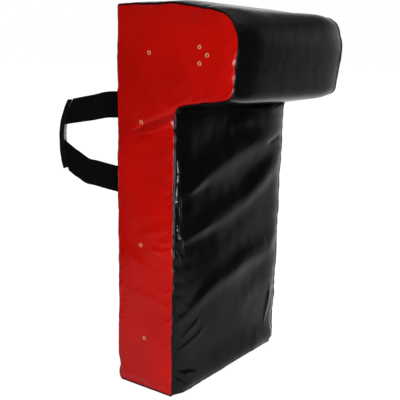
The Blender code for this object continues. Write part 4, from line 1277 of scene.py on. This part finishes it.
def make_grip(label, side):
    """Webbing folded lengthwise round a felt strip, which shows on the inner face past the fold."""
    half_thick = WEBBING_THICKNESS / 2
    fold_radius = (CORE_THICKNESS + WEBBING_THICKNESS) / 2 + CLEARANCE
    near = -GRIP_WIDTH / 2 + half_thick + fold_radius
    flap_end = -GRIP_WIDTH / 2 + GRIP_FLAP
    core_edge = GRIP_WIDTH / 2 + CORE_OVERHANG
    outer = [(over, half_thick) for over in np.linspace(GRIP_WIDTH / 2, near, 7)]
    turn = [
        (near - fold_radius * math.sin(angle), half_thick + fold_radius * (1 - math.cos(angle)))
        for angle in np.linspace(0, math.pi, 11)[1:]]
    flap = [(over, half_thick + 2 * fold_radius) for over in np.linspace(near, flap_end, 5)[1:]]
    core = [(over, half_thick + fold_radius) for over in np.linspace(near, core_edge, 9)]
    for kind, profile, rows, inset, finish, thickness, node in (
        ("webbing", outer + turn + flap, 60, 0.0, "black_webbing", WEBBING_THICKNESS, "hand_grip"),
        ("felt", core, 50, CORE_ENDS, "grey_core", CORE_THICKNESS, "grip_core"),
    ):
        points, spread = grip_grid(side, profile, rows, inset)
        piece = flat_piece(f"{label}_grip_{kind}", points, finish, thickness, spread)
        attach(piece, f"{label}_handle", finish, f"{label}_{node}")


def make_patch(label, side):
    """The vinyl patch behind a handle's root, its corners rounded and its rim lying close."""
    half_width = PATCH_WIDTH / 2
    half_height = (PATCH_HIGH - PATCH_LOW) / 2
    columns, rows = 24, 88
    points = np.zeros((rows + 1, columns + 1, 3))
    for row in range(rows + 1):
        v = 2 * row / rows - 1
        from_end = half_height * (1 - abs(v))
        inset = 0.0
        if from_end < PATCH_CORNER:
            inset = PATCH_CORNER - math.sqrt(PATCH_CORNER**2 - (PATCH_CORNER - from_end) ** 2)
        for column in range(columns + 1):
            across = (2 * column / columns - 1) * (half_width - inset)
            up = v * half_height
            rim = min(half_width - inset - abs(across), from_end)
            lift = PATCH_LIFT * (1 - math.exp(-rim / PATCH_RIM_RUN))
            lump = noise.noise(Vector((across / PATCH_LUMP, up / PATCH_LUMP, 4.0 + side)))
            lift = lift * (1 + 0.5 * lump)
            points[row, column] = (
                side * ROOT_OFFSET + across, PATCH_FACE - PATCH_THICKNESS + lift - PATCH_SINK,
                (PATCH_LOW + PATCH_HIGH) / 2 + up)
    patch = flat_piece(
        f"{label}_patch", points, "black_vinyl", PATCH_THICKNESS, outwards=True, offset=1.0,
        rim=PATCH_RIM)
    attach(patch, "pad", "black_vinyl", f"{label}_anchor_patch")


# The zip

TAPE_MIDDLE = BACK_SKIN - SHEET_THICKNESS - CLEARANCE - TAPE_THICKNESS / 2
SLIDER_PLACE = Vector(((TOOTH_ROW_LENGTH - SLIDER_LENGTH) / 2, TAPE_MIDDLE, ZIP_HEIGHT))
PLATE_INNER = TOOTH_THICKNESS / 2 + CLEARANCE
PLATE_OUTER = PLATE_INNER + SLIDER_PLATE
PIN_HEIGHT = PLATE_OUTER + PULL_PLAY + PULL_THICKNESS / 2
BRIDGE_TOP = PLATE_OUTER + 2 * PULL_PLAY + PULL_THICKNESS + BRIDGE_BAR

# Turns a flat shape, drawn in x and y, to face out from the pad's back
FACING_BACK = Matrix(((-1, 0, 0, 0), (0, 0, 1, 0), (0, 1, 0, 0), (0, 0, 0, 1)))


def box_corners(x0, x1, z0, z1):
    return [(x0, z0), (x1, z0), (x1, z1), (x0, z1)]


def rounded(corners, radius):
    """A closed outline through these corners, rounded at each."""
    start = (Vector(corners[0]) + Vector(corners[-1])) / 2
    return filleted([start, *corners, start], radius, 1.0)[:-1]


def mirrored(half, radius):
    """The same, from the corners of its upper half."""
    return rounded([*half, *[(x, -y) for x, y in reversed(half)]], radius)


def drawn_in(outline, distance):
    """A closed outline moved inwards by a distance, or outwards by one below nought."""
    points = np.array([tuple(point) for point in outline])
    following = np.roll(points, -1, axis=0)
    ahead = following - np.roll(points, 1, axis=0)
    outwards = np.column_stack([ahead[:, 1], -ahead[:, 0]]) / np.linalg.norm(ahead, axis=1)[:, None]
    turn = np.sign((points[:, 0] * following[:, 1] - points[:, 1] * following[:, 0]).sum())
    return points - outwards * turn * distance


def stamped(outlines, thickness, rounding):
    """A flat piece cut to an outline, with any holes after it, and its rims rounded."""
    curve = bpy.data.curves.new("stamped", "CURVE")
    curve.dimensions = "2D"
    curve.fill_mode = "BOTH"
    curve.extrude = thickness / 2 - rounding
    curve.bevel_depth = rounding
    curve.bevel_resolution = 2
    for number, outline in enumerate(outlines):
        spline = curve.splines.new("POLY")
        spline.points.add(len(outline) - 1)
        spline.use_cyclic_u = True
        for point, place in zip(spline.points, drawn_in(outline, -rounding if number else rounding)):
            point.co = (*place, 0.0, 1.0)
    drawn = bpy.data.objects.new("stamped", curve)
    bpy.context.scene.collection.objects.link(drawn)
    mesh = bpy.data.meshes.new_from_object(drawn.evaluated_get(bpy.context.evaluated_depsgraph_get()))
    bpy.data.objects.remove(drawn)
    bm = bmesh.new()
    bm.from_mesh(mesh)
    bmesh.ops.remove_doubles(bm, verts=bm.verts, dist=CUT_MERGING)
    bmesh.ops.recalc_face_normals(bm, faces=bm.faces)
    return bm


def add_copies(bm, source, places):
    """The source's faces once at each place."""
    mesh = bpy.data.meshes.new("copied")
    source.to_mesh(mesh)
    source.free()
    for place in places:
        count = len(bm.verts)
        bm.from_mesh(mesh)
        bm.verts.ensure_lookup_table()
        bmesh.ops.translate(bm, verts=bm.verts[count:], vec=place)


def add_bar(bm, path, width, thickness):
    """A flat bar bent along a path of (x, z) points, its long edges chamfered."""
    half_ring = ((-1, -0.5), (-0.75, -1), (0.75, -1), (1, -0.5))
    rings = []
    for index, place in enumerate(path):
        square = square_to(path, index)
        ring = []
        for across, deep in (*half_ring, *[(-across, -deep) for across, deep in half_ring]):
            flat = place + square * deep * thickness / 2
            ring.append((flat.x, across * width / 2, flat.y))
        rings.append(ring)
    add_tube(bm, rings)


def make_zip_half(label, way):
    """A woven tape with a row of moulded teeth along its inner edge."""
    low, high = sorted((way * TAPE_NEAR_EDGE, way * (TAPE_NEAR_EDGE + TAPE_WIDTH)))
    half_length = ZIP_SLOT_HALF_LENGTH - CLEARANCE
    x, z = np.meshgrid(np.linspace(-half_length, half_length, 171), np.linspace(low, high, 9))
    points = np.stack([x, np.full_like(x, TAPE_MIDDLE), ZIP_HEIGHT + z], axis=2)
    tape = flat_piece(
        f"zip_{label}_woven_tape", points, "black_nylon", TAPE_THICKNESS, np.stack([x, z], axis=2),
        outwards=True)
    attach(tape, "pad", "black_nylon", f"zip_tape_{label}")
    outline = mirrored([(TOOTH_TIP + reach, half) for reach, half in TOOTH_SHAPE], TOOTH_CORNER)
    tooth = stamped([outline], TOOTH_THICKNESS, TOOTH_ROUNDING)
    tooth.transform(Matrix(((0, 1, 0, 0), (0, 0, 1, 0), (way, 0, 0, 0), (0, 0, 0, 1))))
    shift = 0.25 if way > 0 else 0.75
    bm = bmesh.new()
    add_copies(bm, tooth, [
        (-TOOTH_ROW_LENGTH / 2 + TOOTH_PITCH * (index + shift), TAPE_MIDDLE, ZIP_HEIGHT)
        for index in range(int(TOOTH_ROW_LENGTH / TOOTH_PITCH))])
    teeth = solid_piece(f"zip_{label}_moulded_teeth", bm, "moulded_nylon", sharp_past=40)
    attach(teeth, "pad", "black_nylon")


def finish_zinc(bm, place, name, body, node):
    bm.transform(Matrix.Translation(place) @ FACING_BACK)
    attach(solid_piece(name, bm, "zinc", sharp_past=40), body, "zinc", node)


def make_zip_hardware():
    """End stops, the slider with its folded lips, post and bridge, and the pull tab in the bridge."""
    half_stop = TAPE_NEAR_EDGE - CLEARANCE
    for label, way in (("left", -1), ("right", 1)):
        stop = mirrored(((-STOP_LENGTH / 2, half_stop), (STOP_LENGTH / 2, half_stop)), STOP_CORNER)
        place = (way * (TOOTH_ROW_LENGTH / 2 + CLEARANCE + STOP_LENGTH / 2), TAPE_MIDDLE, ZIP_HEIGHT)
        bm = stamped([stop], TOOTH_THICKNESS, STOP_ROUNDING)
        finish_zinc(bm, place, f"zip_end_stop_{label}", "pad", f"zip_stop_{label}")

    end = -SLIDER_LENGTH / 2
    rim = SLIDER_HEIGHT / 2
    middle = (PLATE_INNER + PLATE_OUTER) / 2
    lip_middle = PLATE_INNER - FOLD_OVERLAP
    plate = mirrored(((end, rim), (0.0, rim), (-end, rim * PLATE_TAPER)), PLATE_CORNER)
    post = mirrored([(end + reach, POST_HALF_WIDTH) for reach in POST_REACHES], FINE_CORNER)
    bm = bmesh.new()
    add_copies(bm, stamped([plate], SLIDER_PLATE, PLATE_ROUNDING), [(0, 0, middle), (0, 0, -middle)])
    add_copies(bm, stamped([post], 2 * middle, FINE_ROUNDING), [(0, 0, 0)])
    for edge in (-1, 1):
        low, high = (edge * (rim - inset) for inset in LIP_INSETS)
        lip = rounded(box_corners(end + LIP_REACHES[0], end + LIP_REACHES[1], low, high), FINE_CORNER)
        lip_piece = stamped([lip], LIP_HEIGHT, FINE_ROUNDING)
        add_copies(bm, lip_piece, [(0, 0, lip_middle), (0, 0, -lip_middle)])
    leg = (BRIDGE_LENGTH - BRIDGE_BAR) / 2
    foot = PLATE_OUTER - FOLD_OVERLAP
    crest = BRIDGE_TOP - BRIDGE_BAR / 2
    arch = filleted([(-leg, foot), (-leg, crest), (leg, crest), (leg, foot)], BRIDGE_CORNER, BRIDGE_STEP)
    add_bar(bm, arch, BRIDGE_WIDTH, BRIDGE_BAR)
    finish_zinc(bm, SLIDER_PLACE, "zip_slider_body", "zip_slider", "zip_slider")

    half = PULL_WIDTH / 2
    outline = mirrored([(reach, half * share) for reach, share in PULL_SHAPE], PULL_CORNER)
    eye = mirrored(
        [(reach, half - PULL_EYE_MARGIN) for reach in (PULL_THICKNESS / 2, PULL_EYE_END)], PULL_EYE_CORNER)
    hole = [
        (PULL_HOLE_PLACE + PULL_HOLE_RADIUS * math.cos(a), PULL_HOLE_RADIUS * math.sin(a))
        for a in np.linspace(0, 2 * math.pi, 21)[:-1]]
    bm = stamped([outline, eye, hole], PULL_THICKNESS, PULL_ROUNDING)
    finish_zinc(bm, SLIDER_PLACE + Vector((0, PIN_HEIGHT, 0)), "zip_pull", "zip_pull", "zip_pull_tab")


# Stitching


def stitch_rings(start, end, up):
    """One stitch of thread, standing a little proud between the two holes that it dips into."""
    across = (end - start).cross(up).normalized()
    rings = []
    for step in range(6):
        bow = math.sin(math.pi * step / 5)
        centre = start.lerp(end, step / 5) + up * THREAD_RADIUS * (1.4 * bow - 0.7)
        radius = THREAD_RADIUS * (0.6 + 0.4 * min(bow * 2, 1.0))
        rings.append([
            centre + radius * (math.cos(k * math.pi / 3) * up + math.sin(k * math.pi / 3) * across)
            for k in range(6)])
    return rings


def spaced(corners, closed=False):
    """The ends of each stitch along straight runs between corners."""
    corners = [Vector(corner) for corner in corners]
    share = STITCH_LENGTH / (STITCH_LENGTH + STITCH_GAP)
    for first, second in zip(corners, corners[1:] + (corners[:1] if closed else [])):
        count = max(1, round((second - first).length / (STITCH_LENGTH + STITCH_GAP)))
        for index in range(count):
            yield first.lerp(second, index / count), first.lerp(second, (index + share) / count)


def sew(name, body, stitches):
    """A piece of thread, from the ends of its stitches and which way each faces."""
    bm = bmesh.new()
    for start, end, up in stitches:
        add_tube(bm, stitch_rings(start, end, up))
    attach(solid_piece(name, bm, "black_thread"), body, "black_nylon")


def on_back(target, runs, start_depth=0.2):
    """Stitches of flat (x, z) runs, seated on the side of a piece that faces out from the pad's back."""
    mesh = bpy.data.objects[target].data
    tree = BVHTree.FromPolygons([v.co for v in mesh.vertices], [p.vertices for p in mesh.polygons])
    out = Vector((0, 1, 0))
    for ends in itertools.chain(*runs):
        hits = [tree.ray_cast(Vector((x, start_depth, z)), -out)[0] for x, z in ends]
        if all(hits):
            yield (*hits, out)


def stitch_handle(label, side):
    """Rows round the patch, a boxed cross on each tail, and rows up the grip."""
    x = side * ROOT_OFFSET
    half = PATCH_WIDTH / 2 - STITCH_MARGIN
    rim = rounded(box_corners(x - half, x + half, PATCH_LOW + STITCH_MARGIN, PATCH_HIGH - STITCH_MARGIN),
                  STITCH_CORNER)
    sew(f"{label}_patch_stitching", "pad", on_back(f"{label}_patch", [spaced(rim, closed=True)]))
    tails = []
    for band, height in (("upper", UPPER_ROOT_HEIGHT), ("lower", LOWER_ROOT_HEIGHT)):
        for ply, way in (("outer", side), ("inner", -side)):
            near, far = (x + way * reach for reach in TAIL_BOX_REACHES)
            tail = box_corners(near, far, height - TAIL_BOX_HALF_HEIGHT, height + TAIL_BOX_HALF_HEIGHT)
            crossed = [spaced(tail, closed=True), spaced(tail[::2]), spaced(tail[:0:-2])]
            tails += on_back(f"{label}_{band}_band_{ply}_ply", crossed, TAIL_SIGHT)
    sew(f"{label}_tail_stitching", "pad", tails)

    into_pad = handle_frame(side)
    back_depth = 2 * WEBBING_THICKNESS + CORE_THICKNESS + 2 * CLEARANCE
    places = [(over, 0.0, 1) for over in GRIP_FRONT_ROWS]
    places += [(over, back_depth, -1) for over in GRIP_BACK_ROWS]
    rows = []
    for over, deep, way in places:
        for ends in spaced([(0.0, GRIP_LOW + GRIP_ROW_END), (0.0, GRIP_HIGH - GRIP_ROW_END)]):
            up = Vector((0.0, 1.0, -grip_lean(ends[0].y))).normalized() * way
            start, end = (into_pad @ grip_point(side, over, deep, place.y) for place in ends)
            rows.append((start, end, into_pad.to_3x3() @ up))
    sew(f"{label}_grip_stitching", f"{label}_handle", rows)


def stitch_zip():
    half = ZIP_SLOT_HALF_LENGTH + STITCH_MARGIN
    reach = ZIP_SLOT_HEIGHT / 2 + STITCH_MARGIN
    rim = box_corners(-half, half, ZIP_HEIGHT - reach, ZIP_HEIGHT + reach)
    sew("zip_stitching", "pad", on_back("back_cover", [spaced(rim, closed=True)]))


# Foam


def foam_core():
    """The foam's whole outer shape, before it is cut into slabs."""
    bm = bmesh.new()
    edge = np.zeros_like(OUTLINE)
    for panel, stations in PANEL_STATIONS.items():
        points = cross_points(panel, FOAM_INSET)
        add_points_grid(bm, points)
        edge[stations] = points[:, 0, 1:]
    for side in (-1, 1):
        for block in side_blocks(edge):
            flat = block.reshape(-1, 2)
            reach = HALF_WIDTH - FOAM_INSET + SIDE_CROWN * rise(distance_to_seam(flat, edge), CROWN_RUN)
            add_side_block(bm, block, side, reach + lean_of(side, flat[:, 1]))
    bmesh.ops.remove_doubles(bm, verts=bm.verts, dist=BLOCK_MERGING)
    bmesh.ops.recalc_face_normals(bm, faces=bm.faces)
    return bm


def make_foam_block(core, name, node, finish, cuts):
    """One slab: the core, with everything on the far side of each cut taken away and the cut closed."""
    bm = core.copy()
    for place, normal in cuts:
        cut = cut_across(bm, place, normal, clear_outer=True)
        rim = [part for part in cut["geom_cut"] if isinstance(part, bmesh.types.BMEdge)]
        bmesh.ops.edgeloop_fill(bm, edges=rim)
    bmesh.ops.triangulate(bm, faces=[face for face in bm.faces if len(face.verts) > 4])
    slab = attach(solid_piece(name, bm, finish, smooth=False), "pad", finish, node)


def make_foam():
    core = foam_core()
    joint = BACK - REAR_SLAB_DEPTH
    nose_plane = FACE + FOAM_INSET
    forward, backward, down = (0, -1, 0), (0, 1, 0), (0, 0, -1)
    make_foam_block(core, "foam_rear", "foam_rear_slab", "blue_grey_foam", (
        ((0, joint + JOINT_GAP / 2, 0), forward),))
    make_foam_block(core, "foam_front", "foam_front_slab", "cream_foam", (
        ((0, joint - JOINT_GAP / 2, 0), backward), ((0, nose_plane, 0), forward)))
    make_foam_block(core, "foam_nose", "foam_nose_block", "cream_foam", (
        ((0, nose_plane - JOINT_GAP, 0), backward), ((0, 0, CHIN_HEIGHT - NOSE_BLOCK_FOOT), down)))
    core.free()


# The studio

# The way from the pad to the lit backdrop that its gloss shows
BACKDROP_WAY = (0.81, 0.586, 0.0)


def make_camera():
    heading, pitch, roll = CAMERA_HEADING, CAMERA_PITCH, CAMERA_ROLL
    forward = Vector((
        math.cos(pitch) * math.sin(heading), math.cos(pitch) * math.cos(heading), math.sin(pitch)))
    level = Vector((math.cos(heading), -math.sin(heading), 0.0))
    upright = level.cross(forward)
    right = level * math.cos(roll) + upright * math.sin(roll)
    up = upright * math.cos(roll) - level * math.sin(roll)
    data = bpy.data.cameras.new("camera")
    data.lens = CAMERA_LENS
    data.sensor_width = CAMERA_SENSOR
    camera = bpy.data.objects.new("camera", data)
    aimed = Matrix((right, up, -forward)).transposed().to_4x4()
    camera.matrix_world = Matrix.Translation(CAMERA_PLACE) @ aimed
    bpy.context.scene.collection.objects.link(camera)
    bpy.context.scene.camera = camera


def camera_and_mirrored(finish):
    """One for what the camera sees directly, and one for what it sees in a gloss or through a glass."""
    direct = finish.node("ShaderNodeLightPath", output="Is Camera Ray")
    mirrored_light = direct.beside("Is Glossy Ray") + direct.beside("Is Transmission Ray")
    return direct, mirrored_light.clamped() * (1 - direct)


def make_world():
    world = bpy.data.worlds.new("studio")
    world.use_nodes = True
    bpy.context.scene.world = world
    finish = Finish(world.node_tree)
    way = finish.node("ShaderNodeTexCoord", output="Generated")
    backdrop = finish.vector("DOT_PRODUCT", way, BACKDROP_WAY, output="Value")
    height = finish.node("ShaderNodeSeparateXYZ", None, {0: way}, output=2)
    low_backdrop = 0.28 * backdrop.between(0.35, 0.51) + 0.50 * backdrop.between(0.52, 0.90)
    gloss = 0.01 + low_backdrop * (1 - height.between(0.15, 0.55)) + 0.22 * height.between(0.42, 0.78)
    direct, mirror = camera_and_mirrored(finish)
    strength = direct + mirror * gloss + (1 - direct) * (1 - mirror) * AMBIENT
    light = finish.node("ShaderNodeBackground", None, {"Color": (1, 1, 1), "Strength": strength})
    finish.node("ShaderNodeOutputWorld", None, {"Surface": light})


def make_floor():
    """A pale floor that the camera sees as near white, and the gloss as a dark studio with a lit backdrop."""
    finish = new_finish("studio_floor")
    place = finish.place()
    backdrop = finish.vector("DOT_PRODUCT", finish.vector("NORMALIZE", place), BACKDROP_WAY, output="Value")
    along = finish.vector("DOT_PRODUCT", place, BACKDROP_WAY, output="Value")
    away = finish.vector("LENGTH", place, output="Value")
    # Painted reflection: the floor is no lamp but glows in the gloss, with a pool of light near the pad, a
    # fainter veil round it and a lit backdrop far off.
    near = 0.22 * (1 - away.between(0.40, 0.92)) * along.between(-0.45, -0.05)
    veil = 0.20 * (1 - away.between(0.45, 1.9)) * (1 - along.between(-0.35, 0.0))
    facing = backdrop - 0.11 * away.between(1.5, 7.0)
    far = 0.26 * facing.between(0.20, 0.44) + 0.45 * facing.between(0.48, 0.85)
    shine = finish.mix((0.01 + veil + near + far).clamped(), (0, 0, 0), (1, 1, 1))
    direct, mirror = camera_and_mirrored(finish)
    matt = finish.node("ShaderNodeBsdfDiffuse", None, {"Color": (0.85, 0.85, 0.85)})
    shadowed = finish.node("ShaderNodeBsdfDiffuse", None, {"Color": (0.42, 0.42, 0.42)})
    white = finish.node("ShaderNodeEmission", None, {"Color": (1, 1, 1), "Strength": 0.90})
    seen = finish.node("ShaderNodeAddShader", None, {0: shadowed, 1: white})
    plain = finish.node("ShaderNodeMixShader", None, {0: direct, 1: matt, 2: seen})
    reflected = finish.node("ShaderNodeEmission", None, {"Color": shine, "Strength": 1.0})
    finish.node("ShaderNodeOutputMaterial", None, {
        "Surface": finish.node("ShaderNodeMixShader", None, {0: mirror, 1: plain, 2: reflected})})
    bm = bmesh.new()
    bmesh.ops.create_grid(bm, x_segments=1, y_segments=1, size=40.0)
    floor = new_piece("floor", bm, "studio_floor", smooth=False)
    floor.location.z = -0.0005


def make_light(name, place, target, size, power, in_gloss=True):
    data = bpy.data.lights.new(name, "AREA")
    data.shape = "SQUARE"
    data.size = size
    data.energy = power
    light = bpy.data.objects.new(name, data)
    light.visible_glossy = in_gloss
    light.location = place
    light.rotation_euler = (Vector(target) - Vector(place)).to_track_quat("-Z", "Y").to_euler()
    bpy.context.scene.collection.objects.link(light)


make_camera()
make_world()
make_floor()
make_light("key_softbox", (-1.05, -0.88, 0.08), (0, 0, 0.2), 0.7, 13)
make_light("top_softbox", (0.2, -0.2, 2.4), (0, 0, 0.4), 1.6, 14, in_gloss=False)
bpy.context.scene.view_settings.view_transform = "Standard"

make_cross_cover("strike", "strike_face_panel")
make_cross_cover("nose", "nose_panel")
make_cross_cover("back", "back_panel")
make_cross_cover("base", "base_panel")
for side_label, side_sign in (("left", -1), ("right", 1)):
    make_side_cover(side_label, side_sign)
    make_welt(side_label, side_sign)
    make_eyelets(side_label, side_sign)
    make_patch(side_label, side_sign)
    make_band(side_label, side_sign, "upper", UPPER_ROOT_HEIGHT, -UPPER_BAND_FALL, UPPER_FALL_SHARES)
    make_band(side_label, side_sign, "lower", LOWER_ROOT_HEIGHT, LOWER_BAND_RISE, LOWER_RISE_SHARES)
    make_grip(side_label, side_sign)
    stitch_handle(side_label, side_sign)
make_zip_half("upper", 1)
make_zip_half("lower", -1)
make_zip_hardware()
stitch_zip()
make_foam()
